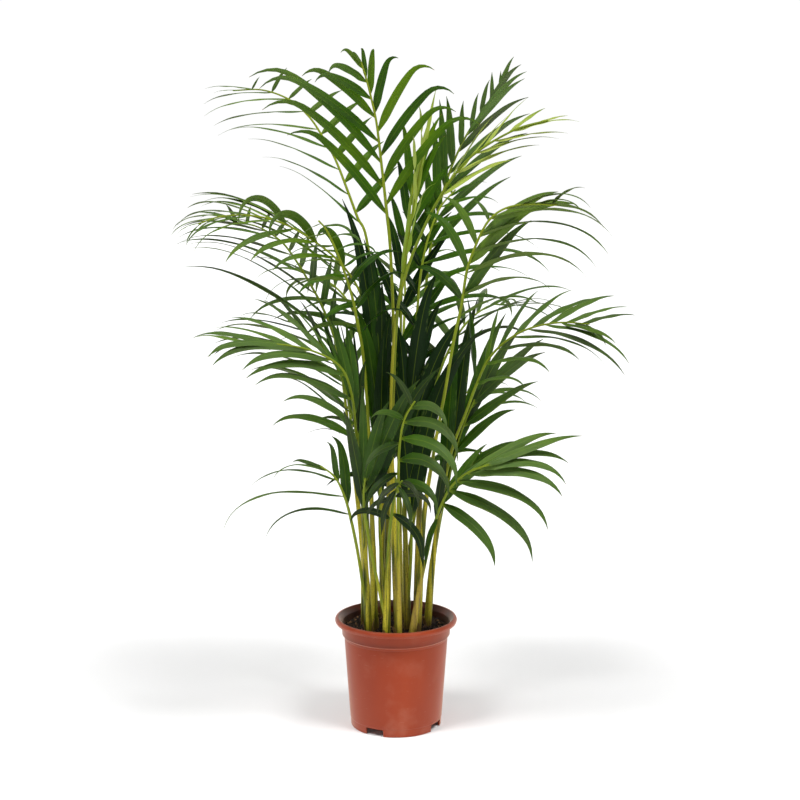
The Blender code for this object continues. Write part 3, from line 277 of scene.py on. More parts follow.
# The camera, fitted to the photograph
IMAGE_PIXELS = 800
FOCAL_PIXELS = 1496.3
SENSOR = 36.0
CAMERA_PLACE = (0.0069, -2.4915, 0.9275)
CAMERA_PITCH = 0.1449

# Where the white of the walls starts to dim, where it is dimmest, and its strength at both
CEILING = (0.18, 0.56, 1.02, 0.05)

# Lamps: name, turn about the upright, height, strength and spread
LIGHTS = (
    ("left_lamp", -53.0, 60.0, 2.35, 22.0),
    ("right_lamp", 53.0, 60.0, 2.35, 22.0),
)
FLOOR_SIZE = 60.0
FLOOR_DROP = 0.0005

# The name of the four numbers that a mesh carries at each point, and the places of a cane's two materials
TINTS = "tints"
LEAF_KIND = 0
STEM_KIND = 1

UP = Vector((0.0, 0.0, 1.0))
FRONT = Vector((0.0, -1.0, 0.0))


# The plan of the plant

# A row of leaflets on one side of a frond. Their tips follow a line, and their upper sides turn from the
# frond's own towards the front by the share in face. Turns are in degrees and widths in metres.
Row = namedtuple("Row", "count droop width tips curl start end face", defaults=(12.0, 0.0, 1.0, 0.0))

# A frond: the bare share of its length, the points of its stalk and midrib, and its rows of leaflets. One
# without rows has pairs of leaflets that open at even angles instead.
FROND_PARTS = "cane bare route rows roll pairs longest width open_low open_high lift droop curl"
Frond = namedtuple("Frond", FROND_PARTS, defaults=((), 0.0, 0, 0.20, 0.016, 54.0, 22.0, 18.0, 66.0, 15.0))

# Points are in millimetres from the pot's axis and the floor, from the foot up. A cane's later fronds
# leave its first one at the height of their first point.
PLAN = (
    # The half-open new frond and the spear beside it
    Frond("new_leaves", 0.75, ((4, -44, 170), (-4, -53, 380), (-8, -62, 541), (-4, -68, 656), (4, -71, 731),
        (23, -77, 801), (47, -87, 859), (67, -98, 898), (87, -110, 930), (112, -130, 961), (147, -146, 987),
        (190, -164, 1009), (232, -177, 1020)), roll=45, rows=(
        Row(5, 14, 0.012, ((147, -121, 1029), (181, -130, 1032), (210, -143, 1055), (233, -155, 1037),
            (265, -167, 1027)), curl=6),
        Row(5, 26, 0.013, ((173, -155, 976), (228, -171, 996), (255, -180, 1008), (276, -186, 1017)),
            curl=6, end=0.8))),
    Frond("new_leaves", 0.5, ((-6, -62, 501), (-1, -62, 664), (7, -54, 753), (20, -47, 834), (33, -37, 914),
        (46, -28, 986)), rows=(
        Row(3, 6, 0.014, ((28, -14, 930), (50, -10, 1020), (66, -20, 1080)), curl=4),
        Row(3, 26, 0.015, ((65, -87, 925), (60, -43, 1000), (56, -31, 1050)), curl=50))),
    # The tall crown frond at the upper left, which leans towards the front
    Frond("crown", 0.72, ((-16, 2, 170), (-12, -6, 400), (-4, -14, 640), (-8, -24, 800), (-16, -35, 890),
        (-23, -49, 955), (-30, -74, 1017), (-38, -96, 1056), (-46, -117, 1087), (-53, -136, 1110)),
        roll=8, rows=(
        Row(8, 34, 0.015, ((-175, -106, 1000), (-202, -117, 1032), (-237, -130, 1083), (-208, -143, 1064),
            (-152, -155, 1090), (-123, -167, 1081), (-102, -180, 1086), (-84, -173, 1121)),
            curl=60, face=0.75),
        Row(8, 34, 0.0145, ((145, -63, 1014), (102, -80, 1034), (90, -99, 1064), (54, -110, 1100),
            (6, -117, 1118), (-36, -138, 1129), (-53, -149, 1128), (-66, -167, 1117)), curl=76, face=0.75))),
    Frond("crown", 0.45, ((-15, 0, 200), (-27, -12, 330), (-25, -24, 450), (-23, -30, 550), (-26, -37, 620)),
        rows=(
        Row(4, 20, 0.028, ((-83, -78, 692), (-64, -58, 681), (-74, -52, 834), (-100, -50, 915),
            (-45, -51, 840)), face=1),
        Row(4, 16, 0.028, ((13, -46, 690), (-6, -41, 735), (-32, -59, 713), (-14, -35, 790),
            (-30, -30, 820)),
            face=1))),
    # The tall frond on the right, which arches to the right
    Frond("right_tall", 0.64, ((36, -34, 170), (46, -40, 360), (64, -51, 491), (81, -62, 589),
        (94, -83, 674), (105, -106, 731), (112, -130, 787), (125, -152, 830), (143, -177, 868),
        (168, -202, 888), (202, -223, 894), (241, -242, 893)), roll=-16, rows=(
        Row(10, 66, 0.013, ((219, -174, 740), (291, -209, 777), (316, -240, 816), (324, -260, 836),
            (311, -276, 857), (270, -279, 882), (280, -267, 920))),
        Row(7, 72, 0.016, ((30, -71, 791), (52, -95, 880), (79, -129, 905), (118, -161, 899),
            (182, -198, 893), (199, -217, 906), (218, -232, 894)), curl=30, face=0.5),
        Row(4, 22, 0.02, ((194, -198, 881), (215, -211, 895), (243, -232, 901), (270, -242, 894)),
            start=0.1, end=0.7, face=0.7))),
    # The low right frond with broad leaflets, and the small one under it
    Frond("right_low", 0.62, ((54, -2, 170), (62, -6, 280), (78, -12, 400), (94, -18, 482), (117, -24, 547),
        (133, -31, 593), (152, -42, 637), (180, -60, 670), (217, -80, 693), (264, -97, 704),
        (309, -114, 703)),
        roll=-8, rows=(
        Row(8, 28, 0.017, ((154, 10, 735), (195, -4, 735), (252, -16, 757), (315, -39, 745), (355, -76, 742),
            (371, -102, 729), (380, -124, 714)), face=0.4),
        Row(9, 46, 0.015, ((207, -117, 606), (257, -143, 634), (319, -155, 647), (361, -164, 629),
            (357, -167, 649), (342, -158, 670), (315, -143, 682)), face=0.3))),
    Frond("right_low", 0.5, ((56, -3, 200), (66, 8, 290), (75, 14, 350), (86, 20, 405), (103, 26, 477),
        (117, 30, 520), (134, 36, 560)), roll=-16, rows=(
        Row(5, 16, 0.024, ((100, 58, 690), (150, 64, 731), (190, 68, 700), (214, 70, 672), (260, 72, 661)),
            face=0.9),
        Row(4, 34, 0.024, ((214, -10, 500), (200, 8, 549), (236, 30, 592), (250, 52, 640)), face=0.6))),
    # Two low fronds on the left
    Frond("left_low", 0.55, ((-46, -50, 170), (-52, -63, 330), (-58, -95, 463), (-64, -118, 533),
        (-69, -133, 587), (-81, -150, 630), (-104, -171, 655), (-140, -189, 672), (-183, -208, 681),
        (-224, -220, 680)), roll=8, rows=(
        Row(3, 14, 0.022, ((-45, -108, 643), (-76, -115, 705), (-104, -110, 709)), end=0.3, face=1),
        Row(8, 46, 0.017, ((-170, -232, 592), (-223, -248, 624), (-228, -260, 651), (-283, -260, 654),
            (-273, -254, 667), (-286, -245, 678)), face=0.5),
        Row(7, 34, 0.017, ((-133, -124, 707), (-208, -130, 746), (-258, -149, 719), (-301, -180, 692),
            (-317, -208, 688)), start=0.2, face=0.4))),
    Frond("left_low", 0.6, ((-47, -52, 195), (-62, -68, 310), (-75, -94, 387), (-85, -117, 429),
        (-98, -142, 461), (-119, -160, 482)), roll=6, rows=(
        Row(4, 96, 0.014, ((-218, -109, 346), (-283, -132, 362), (-242, -166, 433), (-196, -178, 465)),
            curl=8, face=0.4),
        Row(3, 40, 0.025, ((-92, -140, 526), (-107, -152, 521), (-164, -167, 479)), curl=40, face=0.9))),
    # The ribbons that face the front at the centre
    Frond("front_ribbons", 0.6, ((4, -72, 170), (4, -80, 320), (4, -102, 433), (6, -126, 505),
        (14, -148, 554), (30, -173, 587)), rows=(
        Row(5, 100, 0.019, ((64, -172, 404), (84, -204, 436), (100, -219, 462), (92, -232, 506),
            (79, -236, 548)), curl=24, face=0.7),
        Row(4, 64, 0.026, ((-46, -163, 408), (-52, -187, 476), (-40, -197, 566), (-14, -181, 634)),
            face=0.9))),
    Frond("front_small", 0.66, ((-16, -76, 170), (-14, -86, 300), (-9, -101, 371), (-3, -120, 418),
        (3, -141, 445), (10, -166, 459)), rows=(
        Row(4, 104, 0.019, ((-73, -147, 384), (-47, -164, 396), (-19, -162, 369), (-30, -189, 407)),
            curl=30, face=0.8),
        Row(4, 104, 0.019, ((46, -118, 308), (55, -177, 406), (26, -173, 380), (36, -203, 418)),
            curl=30, face=0.8))),
    # The broad dark leaflets that cross in front of the stems
    Frond("front_small", 0.72, ((-16, -78, 200), (-38, -86, 310), (-49, -100, 380), (-52, -117, 424),
        (-49, -135, 456)), rows=(
        Row(2, 24, 0.019, ((-81, -186, 570), (-58, -172, 608)), face=1),
        Row(3, 24, 0.028, ((93, -189, 617), (39, -169, 617), (-8, -149, 595)), face=1))),
    Frond("right_bottom", 0.55, ((26, -70, 170), (38, -76, 250), (50, -80, 310), (62, -90, 366),
        (75, -103, 408), (91, -121, 442), (116, -142, 468), (147, -160, 484)), roll=-16, rows=(
        Row(6, 18, 0.019, ((81, -127, 499), (163, -90, 507), (197, -108, 496), (256, -128, 508),
            (294, -142, 518)), start=0.03, face=0.7),
        Row(7, 66, 0.02, ((47, -112, 300), (175, -141, 314), (229, -148, 326), (253, -175, 425),
            (272, -172, 449), (274, -163, 483)), face=0.6))),
    # The frond at the left centre that faces the front, and the thin one behind it
    Frond("left_tall", 0.68, ((-36, -22, 170), (-40, -26, 360), (-45, -33, 520), (-54, -45, 646),
        (-62, -61, 696), (-69, -76, 738), (-78, -93, 772), (-87, -113, 802), (-98, -141, 833),
        (-108, -161, 855), (-118, -177, 868)), roll=18, rows=(
        Row(7, 84, 0.016, ((20, -70, 721), (16, -69, 776), (8, -78, 813), (-9, -108, 807), (-29, -152, 813),
            (-52, -181, 832), (-64, -200, 841)), curl=26, face=0.5),
        Row(7, 56, 0.0164, ((-150, -45, 671), (-170, -84, 732), (-174, -130, 787), (-166, -164, 815),
            (-146, -186, 840)), face=0.3))),
    Frond("left_tall", 0.5, ((-37, -23, 210), (-46, -18, 330), (-51, -24, 420), (-59, -30, 490),
        (-74, -35, 550), (-91, -38, 610), (-114, -44, 650), (-141, -56, 681), (-175, -68, 705)),
        roll=4, rows=(
        Row(7, 24, 0.015, ((-80, 0, 690), (-98, -8, 716), (-134, -20, 727), (-190, -37, 738),
            (-217, -53, 739)), face=0.4),
        Row(7, 40, 0.015, ((-183, -139, 617), (-235, -136, 646), (-297, -121, 684), (-288, -106, 699),
            (-253, -84, 712))))),
    # The long arch to the left
    Frond("left_arch", 0.6, ((-54, 2, 170), (-53, 2, 400), (-46, 0, 560), (-43, -2, 670), (-58, 0, 742),
        (-93, 4, 795), (-143, 8, 835), (-193, 14, 861), (-243, 18, 872), (-292, 22, 870), (-330, 24, 858)),
        roll=7, rows=(
        Row(12, 46, 0.013, ((-200, 64, 860), (-322, 62, 912), (-356, 70, 905), (-330, 66, 888),
            (-352, 58, 873), (-382, 56, 844), (-369, 36, 836))),
        Row(10, 48, 0.0164, ((-120, -45, 700), (-189, -64, 781), (-251, -84, 801), (-344, -37, 820),
            (-330, -16, 836), (-347, 0, 828))),
        Row(3, 150, 0.016, ((-133, -79, 835), (-198, -93, 843), (-247, -89, 863)),
            curl=30, start=0.2, end=0.66, face=0.8))),
    # The right centre frond with thin arching leaflets, and the short dark one beside it
    Frond("centre_right", 0.58, ((20, -22, 170), (16, -24, 330), (14, -22, 450), (20, -14, 566),
        (27, -6, 632), (35, 4, 707), (42, 14, 778), (54, 24, 834), (74, 36, 884), (100, 48, 914)),
        roll=16, rows=(
        Row(9, 58, 0.012, ((105, -20, 660), (151, -20, 710), (198, -10, 738), (240, 0, 770), (261, 6, 795),
            (211, 20, 844), (180, 40, 885), (150, 52, 930))),
        Row(8, 26, 0.018, ((-34, 36, 700), (-13, 44, 770), (0, 48, 830), (14, 52, 889), (41, 56, 930),
            (74, 60, 952)), face=0.7))),
    Frond("centre_right", 0.4, ((19, -22, 195), (26, -36, 330), (20, -37, 440), (21, -32, 530),
        (32, -33, 595)), rows=(
        Row(5, 34, 0.028, ((104, -61, 641), (134, -55, 689), (106, -50, 713), (122, -33, 706),
            (76, -24, 736)),
            face=1),
        Row(5, 16, 0.03, ((-10, -46, 640), (2, -46, 700), (27, -30, 690), (46, -37, 790), (60, -12, 740)),
            face=1))),
    # The fronds behind
    Frond("far_left", 0.62, ((-46, 40, 170), (-62, 46, 340), (-80, 52, 490), (-96, 60, 625), (-110, 66, 676),
        (-130, 72, 723), (-149, 78, 757), (-170, 86, 791), (-198, 98, 826), (-239, 116, 850),
        (-284, 134, 858)), roll=-8, rows=(
        Row(9, 46, 0.012, ((-355, 60, 790), (-363, 80, 815), (-390, 100, 811), (-379, 120, 827),
            (-367, 140, 847), (-340, 150, 855))),
        Row(9, 18, 0.015, ((-100, 112, 745), (-122, 120, 812), (-147, 130, 832), (-168, 140, 846),
            (-197, 150, 866), (-243, 160, 884), (-300, 165, 886)), face=0.8))),
    Frond("far_left", 0.44, ((-60, 46, 330), (-78, 100, 500), (-94, 156, 590), (-110, 212, 632)),
        roll=-16, pairs=5, width=0.015, open_high=20),
    Frond("back_left", 0.64, ((-22, 50, 170), (-26, 58, 450), (-32, 72, 690), (-50, 86, 829), (-66, 96, 867),
        (-83, 108, 912), (-105, 130, 966), (-128, 146, 1006), (-152, 162, 1040), (-187, 182, 1070),
        (-237, 204, 1088), (-290, 220, 1088)), roll=-8, rows=(
        Row(10, 26, 0.0115, ((-200, 120, 945), (-240, 130, 978), (-278, 150, 1012), (-317, 165, 1002),
            (-323, 180, 1031), (-346, 195, 1049), (-338, 208, 1082), (-325, 226, 1084))),
        Row(9, 10, 0.014, ((3, 120, 950), (-19, 128, 996), (-41, 138, 1034), (-61, 150, 1066),
            (-96, 165, 1090), (-149, 180, 1106), (-191, 192, 1125), (-240, 205, 1112), (-290, 215, 1104)),
            face=0.9))),
    Frond("back_left", 0.46, ((-28, 62, 500), (-50, 104, 636), (-80, 158, 708), (-116, 216, 744),
        (-148, 260, 750)), pairs=6, longest=0.215, width=0.013, open_low=56, open_high=18),
    Frond("back_centre", 0.6, ((6, 34, 170), (6, 40, 450), (8, 46, 680), (12, 42, 790), (20, 36, 865),
        (30, 28, 925)), rows=(
        Row(6, 14, 0.018, ((-52, 30, 760), (-36, 30, 850), (-12, 30, 930), (16, 24, 1030)), face=0.8),
        Row(7, 14, 0.018, ((88, 40, 800), (96, 40, 880), (90, 36, 960), (74, 30, 1040)), face=0.8))),
    Frond("back_centre", 0.44, ((6, 41, 480), (12, 96, 640), (16, 160, 726), (14, 224, 764), (8, 276, 764)),
        pairs=6, longest=0.22, width=0.013, open_low=56, open_high=18),
    Frond("back_right", 0.66, ((36, 54, 170), (42, 66, 420), (46, 80, 620), (51, 90, 735), (59, 100, 811),
        (71, 112, 871), (87, 128, 927), (108, 148, 979), (133, 168, 1024), (162, 190, 1060),
        (188, 208, 1082)),
        roll=19, rows=(
        Row(9, 26, 0.0135, ((175, 112, 951), (203, 124, 1002), (215, 150, 1047), (223, 170, 1082),
            (235, 190, 1108), (227, 205, 1129), (209, 215, 1146)), face=0.7),
        Row(9, 10, 0.015, ((44, 108, 970), (75, 112, 1045), (86, 130, 1072), (114, 150, 1066),
            (150, 170, 1089), (172, 190, 1116), (192, 205, 1124)), face=0.9))),
    Frond("back_right", 0.44, ((43, 68, 450), (74, 108, 590), (116, 156, 668), (164, 206, 704),
        (202, 240, 706)), pairs=6, longest=0.215, width=0.013, open_high=18, droop=64),
    Frond("far_back", 0.54, ((8, 72, 170), (36, 100, 360), (70, 142, 476), (104, 182, 534), (142, 222, 552)),
        roll=10, pairs=5, longest=0.21, width=0.015, open_low=56, lift=16, droop=64),
    Frond("far_back", 0.46, ((20, 84, 260), (6, 126, 370), (-16, 176, 440), (-38, 226, 462)),
        pairs=4, width=0.015, open_low=56, lift=22),
)


def metres(points):
    """Points given in millimetres, in metres."""
    return tuple(tuple(value / 1000 for value in point) for point in points)


def in_metres(frond):
    """The frond with its points in metres."""
    rows = tuple(row._replace(tips=metres(row.tips)) for row in frond.rows)
    return frond._replace(route=metres(frond.route), rows=rows)


DRAWN = tuple(in_metres(frond) for frond in PLAN)
FIRST_FRONDS = {frond.cane: frond for frond in reversed(DRAWN)}
CANES = tuple(dict.fromkeys(frond.cane for frond in DRAWN))


def within(value):
    """A value held between 0 and 1."""
    return min(max(value, 0.0), 1.0)


def past(value, start, end=1.0):
    """How much of the way from a start to an end a value has come."""
    return within((value - start) / (end - start))


def flat(way):
    """A direction's level part."""
    return Vector((way.x, way.y, 0.0))


def level_way(angle):
    """The level direction at an angle."""
    return Vector((cos(angle), sin(angle), 0.0))


def square_to(way, along):
    """The direction nearest to a way that is square to another."""
    return (way - along * way.dot(along)).normalized()


def smooth_route(points, share):
    """The place at a share of the way along a smooth curve through the points."""
    last = len(points) - 2
    step = min(int(share * (last + 1)), last)
    t = share * (last + 1) - step
    p1 = Vector(points[step])
    p2 = Vector(points[step + 1])
    p0 = Vector(points[step - 1]) if step else p1 * 2 - p2
    p3 = Vector(points[step + 2]) if step < last else p2 * 2 - p1
    return 0.5 * (2 * p1 + (p2 - p0) * t + (2 * p0 - 5 * p1 + 4 * p2 - p3) * t * t
                  + (3 * p1 - p0 - 3 * p2 + p3) * t * t * t)


class Path:
    """A line through places, measured along its length."""

    def __init__(self, places):
        self.places = places
        self.marks = [0.0]
        for before, after in zip(places, places[1:]):
            self.marks.append(self.marks[-1] + (after - before).length)
        self.length = self.marks[-1]

    def at(self, distance):
        """The place and the direction at a distance along the line."""
        distance = min(max(distance, 0.0), self.length)
        step = min(bisect_left(self.marks, distance, 1), len(self.marks) - 1) - 1
        before, after = self.places[step:step + 2]
        share = (distance - self.marks[step]) / (self.marks[step + 1] - self.marks[step])
        return before.lerp(after, share), (after - before).normalized()


def fine_path(frond):
    """The frond's stalk and midrib as a finely divided line."""
    count = FINE_STEPS * (len(frond.route) - 1)
    return Path([smooth_route(frond.route, i / count) for i in range(count + 1)])


def coarse_path(frond):
    """The same line with only the bends that the solid needs."""
    fine = fine_path(frond)
    first = frond.bare * fine.length
    stalk_steps = max(2, round(first / STALK_STEP))
    marks = [first * i / stalk_steps for i in range(stalk_steps)]
    rib_steps = max(2, round((fine.length - first) / RIB_STEP))
    marks += [first + (fine.length - first) * i / rib_steps for i in range(rib_steps + 1)]
    return Path([fine.at(mark)[0] for mark in marks])


def rooted(frond):
    """The frond with its foot moved onto the cane's first frond, at the same height."""
    first = FIRST_FRONDS[frond.cane]
    if frond is first:
        return frond
    stem = coarse_path(first)
    height = frond.route[0][2]
    for below, above in zip(stem.places, stem.places[1:]):
        if below.z <= height < above.z:
            foot = below.lerp(above, (height - below.z) / (above.z - below.z))
    return frond._replace(route=(tuple(foot),) + frond.route[1:])


def heading_of(frond):
    """The level direction in which the frond arches over."""
    return flat(Vector(frond.route[-1]) - Vector(frond.route[len(frond.route) // 2])).normalized()


def frond_axes(frond, along):
    """The frond's own right and its upper side where it runs along a direction."""
    side = square_to(heading_of(frond).cross(UP), along)
    upper = side.cross(along)
    turn = Quaternion(along, radians(frond.roll))
    return turn @ side, turn @ upper


FRONDS = tuple(rooted(frond) for frond in DRAWN)


# A leaflet: its frond, root, first direction and upper side, its size, and how it bends
Leaflet = namedtuple("Leaflet", "frond root along upper length width droop curl twist bend skyward")

# Where a leaflet grows: its frond, its distance along it, its share of its row, and its side
Spot = namedtuple("Spot", "frond mark share hand row")

# How one leaflet differs from its neighbours, in degrees and shares
Nature = namedtuple("Nature", "spread lift droop length twist bend")

# What is added to a leaflet's spread, lift and droop in degrees, and the shares kept of its size
Change = namedtuple("Change", "spread lift droop length width", defaults=(0.0, 0.0, 0.0, 1.0, 1.0))


def frond_spots(number, path, draw):
    """The spots of a frond's leaflets, from its foot to its tip on each side."""
    frond = FRONDS[number]
    pair = Row(frond.pairs, frond.droop, frond.width, (), frond.curl)
    rows = frond.rows or (pair, pair)
    first = frond.bare * path.length
    leafy = path.length - first
    spots = []
    for place, row in enumerate(rows):
        hand = 1 if place % 2 else -1
        for i in range(row.count):
            offset = PAIR_OFFSET * hand + draw.uniform(-PAIR_SCATTER, PAIR_SCATTER)
            along = within((i + FIRST_LEAFLET + offset) / row.count)
            along = row.start + (row.end - row.start) * (1.0 - (1.0 - along) ** GATHER)
            mark = min(first + leafy * along, path.length - TIP_MARGIN)
            spots.append(Spot(number, mark, i / max(row.count - 1, 1), hand, row))
    return sorted(spots, key=lambda spot: spot.share)


def ruled_length(frond, share):
    """Leaflets are longest a third of the way up and short at the tip."""
    rise = min(share / LONGEST_PLACE, 1.0)
    low = LOWEST_LENGTH + (1.0 - LOWEST_LENGTH) * sin(rise * pi / 2)
    high = 1.0 - TIP_SHORTENING * past(share, LONGEST_PLACE) ** TIP_SHORTENING_POWER
    return frond.longest * low * high


def bent_slope(start, droop, curl, bend, share):
    """The slope part of the way along a leaflet, as its own weight bends it and its tip curls."""
    weight = UPRIGHT_WEIGHT + (1.0 - UPRIGHT_WEIGHT) * cos(start)
    slope = start - droop * weight * share ** bend - curl * past(share, CURL_START)
    return max(slope, -STEEPEST)


def aimed(reach, droop, curl, bend):
    """The first direction and the length of a leaflet whose tip lies a reach away from its root."""
    level = flat(reach)
    wanted = atan2(reach.z, level.length)
    start = wanted + droop / 2
    for _ in range(AIM_ROUNDS):
        slopes = [bent_slope(start, droop, curl, bend, (i + 0.5) / AIM_STEPS) for i in range(AIM_STEPS)]
        run = sum(cos(slope) for slope in slopes) / AIM_STEPS
        rise = sum(sin(slope) for slope in slopes) / AIM_STEPS
        length = min(reach.length / hypot(run, rise), reach.length * LONGEST_DETOUR)
        start = min(start + wanted - atan2(rise, run), STEEPEST_START)
    return level.normalized() * cos(start) + UP * sin(start), length


def make_leaflet(spot, path, nature, change):
    """A leaflet at its spot, with its own nature and the change that keeps it clear."""
    frond = FRONDS[spot.frond]
    row = spot.row
    root, along = path.at(spot.mark)
    side, upper = frond_axes(frond, along)
    calm = CALM if row.tips else 1.0
    droop = radians(row.droop + nature.droop * calm)
    curl = radians(row.curl)
    if row.tips:
        first, length = aimed(smooth_route(row.tips, spot.share) - root, droop, curl, nature.bend)
        out = square_to(first, along)
        spread = along.angle(first)
    else:
        length = ruled_length(frond, spot.share)
        lift = radians(frond.lift)
        out = side * (spot.hand * cos(lift)) + upper * sin(lift)
        spread = radians(frond.open_low + (frond.open_high - frond.open_low) * spot.share)
    spread += radians(nature.spread * calm + change.spread)
    turn = -spot.hand * radians(nature.lift * calm + change.lift)
    out = Quaternion(along, turn) @ out
    first = (along * cos(spread) + out * sin(spread)).normalized()
    face = square_to(upper.lerp(FRONT, row.face), first)
    length *= change.length * (1.0 + (nature.length - 1.0) * calm)
    width = row.width * change.width * (1.0 - TIP_NARROWING * spot.share ** 2)
    width = min(width, length * WIDEST_SHARE)
    droop += radians(change.droop)
    twist = radians(nature.twist) * (1.0 - row.face)
    return Leaflet(spot.frond, root, first, face, length, width, droop, curl, twist, nature.bend,
                   SKYWARD * (1.0 - row.face))


def draw_nature(draw):
    """A leaflet's own small differences, in degrees and shares."""
    return Nature(*[draw.uniform(*limits) for limits in (SPREADS, LIFTS, DROOPS, LENGTHS, TWISTS, BENDS)])


def leaflet_frame(leaflet, share):
    """Direction and upper side part of the way along a leaflet."""
    level = flat(leaflet.along)
    start = atan2(leaflet.along.z, level.length)
    heading = (flat(leaflet.upper) if level.length < NEARLY_UPRIGHT else level).normalized()
    slope = bent_slope(start, leaflet.droop, leaflet.curl, leaflet.bend, share)
    along = heading * cos(slope) + UP * sin(slope)
    hanging = UP * cos(slope) - heading * sin(slope)
    blend = leaflet.skyward * min(1.0, share / SKYWARD_END)
    upper = leaflet.upper * (1.0 - blend) + hanging * blend
    return along, Quaternion(along, leaflet.twist * share) @ square_to(upper, along)


def leaflet_line(leaflet, shares):
    """Places, directions and upper sides along a leaflet at the given shares of its length."""
    places = [leaflet.root]
    for i in range(BLADE_STEPS):
        along, _ = leaflet_frame(leaflet, (i + 0.5) / BLADE_STEPS)
        places.append(places[-1] + along * (leaflet.length / BLADE_STEPS))
    line = []
    for share in shares:
        step = min(int(share * BLADE_STEPS), BLADE_STEPS - 1)
        spot = places[step].lerp(places[step + 1], share * BLADE_STEPS - step)
        line.append((spot, *leaflet_frame(leaflet, share)))
    return line


def blade_shape(share):
    """The share of the full width: a narrow root, long level sides, and a long tip."""
    opened = sin(min(1.0, share / BLADE_RISE_END) * pi / 2)
    sides = max(0.0, cos(past(share, BLADE_FALL_START) * pi / 2)) ** BLADE_TIP_POWER
    return (BLADE_ROOT_SHARE + (1.0 - BLADE_ROOT_SHARE) * opened) * sides


def coarse_blade(leaflet, extra=0.0, skip=0.0):
    """A three-sided blade that tapers to a point, with room added all round and its start left out."""
    stations = SHORT_STATIONS if leaflet.length < SHORT_BLADE else BLADE_STATIONS
    shares = [max(share, skip) for share in stations] + [1.0]
    line = leaflet_line(leaflet, shares)
    corners = []
    widths = []
    for share, (spot, along, upper) in zip(shares[:-1], line):
        right = upper.cross(along)
        half = leaflet.width / 2 * blade_shape(share) + extra
        top = BLADE_THICKNESS * (1.0 - BLADE_THINNING * share) / 2 + extra
        widths.append(right)
        side = right * half
        corners += [spot - side - upper * top, spot + side - upper * top, spot + upper * top]
    corners.append(line[-1][0])
    faces = [(1, 0, 2)]
    rows = len(shares) - 2
    for row in range(rows):
        turn = widths[row].cross(widths[row + 1]).dot(line[row][1])
        faces += prism_faces(3 * row, 3 * row + 3, turn > 0)
    last = 3 * rows
    tip = len(corners) - 1
    faces += [(last, last + 1, tip), (last + 1, last + 2, tip), (last + 2, last, tip)]
    return corners, faces


def prism_faces(near, far, clockwise):
    """The six triangles between two sections, split alike on every side so that they never cross."""
    left, right, top = near, near + 1, near + 2
    left_far, right_far, top_far = far, far + 1, far + 2
    if clockwise:
        return [(left, right, left_far), (right, right_far, left_far),
                (right, top_far, right_far), (right, top, top_far),
                (top, left_far, top_far), (top, left, left_far)]
    return [(left, right, right_far), (left, right_far, left_far),
            (right, top, right_far), (top, top_far, right_far),
            (top, left, top_far), (left, left_far, top_far)]


def stalk_radius(frond, path, mark):
    """The stem thins from the soil to the first leaflets and on to the tip."""
    first = frond.bare * path.length
    thick = CANE_RADIUS if frond.route[0][2] < SOIL_TOP else STALK_RADIUS * SIDE_STALK_SHARE
    if mark < first:
        return thick + (STALK_RADIUS - thick) * past(mark / first, *STALK_TAPER)
    return STALK_RADIUS + (MIDRIB_TIP_RADIUS - STALK_RADIUS) * (mark - first) / (path.length - first)


def tube_shape(places, radii, sides):
    """Corners and triangles of a plain tube, for finding what would cross it."""
    corners = []
    faces = []
    for i, place in enumerate(places):
        ahead = places[min(i + 1, len(places) - 1)] - places[max(i - 1, 0)]
        turn = ahead.to_track_quat("Z", "Y")
        for side in range(sides):
            angle = 2 * pi * side / sides
            corners.append(place + turn @ (level_way(angle) * radii[i]))
    for i in range(len(places) - 1):
        for side in range(sides):
            a = i * sides + side
            b = i * sides + (side + 1) % sides
            faces += [(a, b, b + sides), (a, b + sides, a + sides)]
    return corners, faces


class Solid:
    """A shape with its search tree and its box."""

    def __init__(self, node, corners, faces):
        self.node = node
        self.tree = BVHTree.FromPolygons(corners, faces, all_triangles=True)
        self.low = [min(c[axis] for c in corners) for axis in range(3)]
        self.high = [max(c[axis] for c in corners) for axis in range(3)]

    def meets(self, other):
        """Whether the two shapes cross."""
        for axis in range(3):
            if self.low[axis] > other.high[axis] or other.low[axis] > self.high[axis]:
                return False
        return bool(self.tree.overlap(other.tree))


def all_changes():
    """The changes that a leaflet may need to stand clear, from the least to the greatest."""
    kinds = ((0.0, 1.0, 0.0), (0.0, -1.0, 0.0), (0.6, 0.0, 0.0), (-0.6, 0.0, 0.0),
             (0.0, 0.0, 1.0), (0.0, 0.0, -1.0), (0.5, 1.0, -1.0), (-0.5, -1.0, 1.0))
    changes = [Change()]
    for size in CHANGE_SIZES:
        for kind in kinds:
            changes.append(Change(*[part * size for part in kind]))
    return [change._replace(length=length, width=width) for length, width in KEPT_SHARES
            for change in changes]


CHANGES = all_changes()


def settle():
    """Place the leaflets one after another, each bent clear of all that stands already."""
    draw = random.Random(SEED)
    paths = [coarse_path(frond) for frond in FRONDS]
    standing = []
    for frond, path in zip(FRONDS, paths):
        radii = [stalk_radius(frond, path, mark) + ROOM for mark in path.marks]
        standing.append(Solid(frond.cane, *tube_shape(path.places, radii, STEM_TEST_SIDES)))
    leaflets = []
    for number, path in enumerate(paths):
        for spot in frond_spots(number, path, draw):
            found = best_leaflet(spot, path, draw_nature(draw), standing)
            if found and found[0].length > SHORTEST_LEAFLET:
                leaflets.append(found[0])
                standing.append(found[1])
    return paths, leaflets


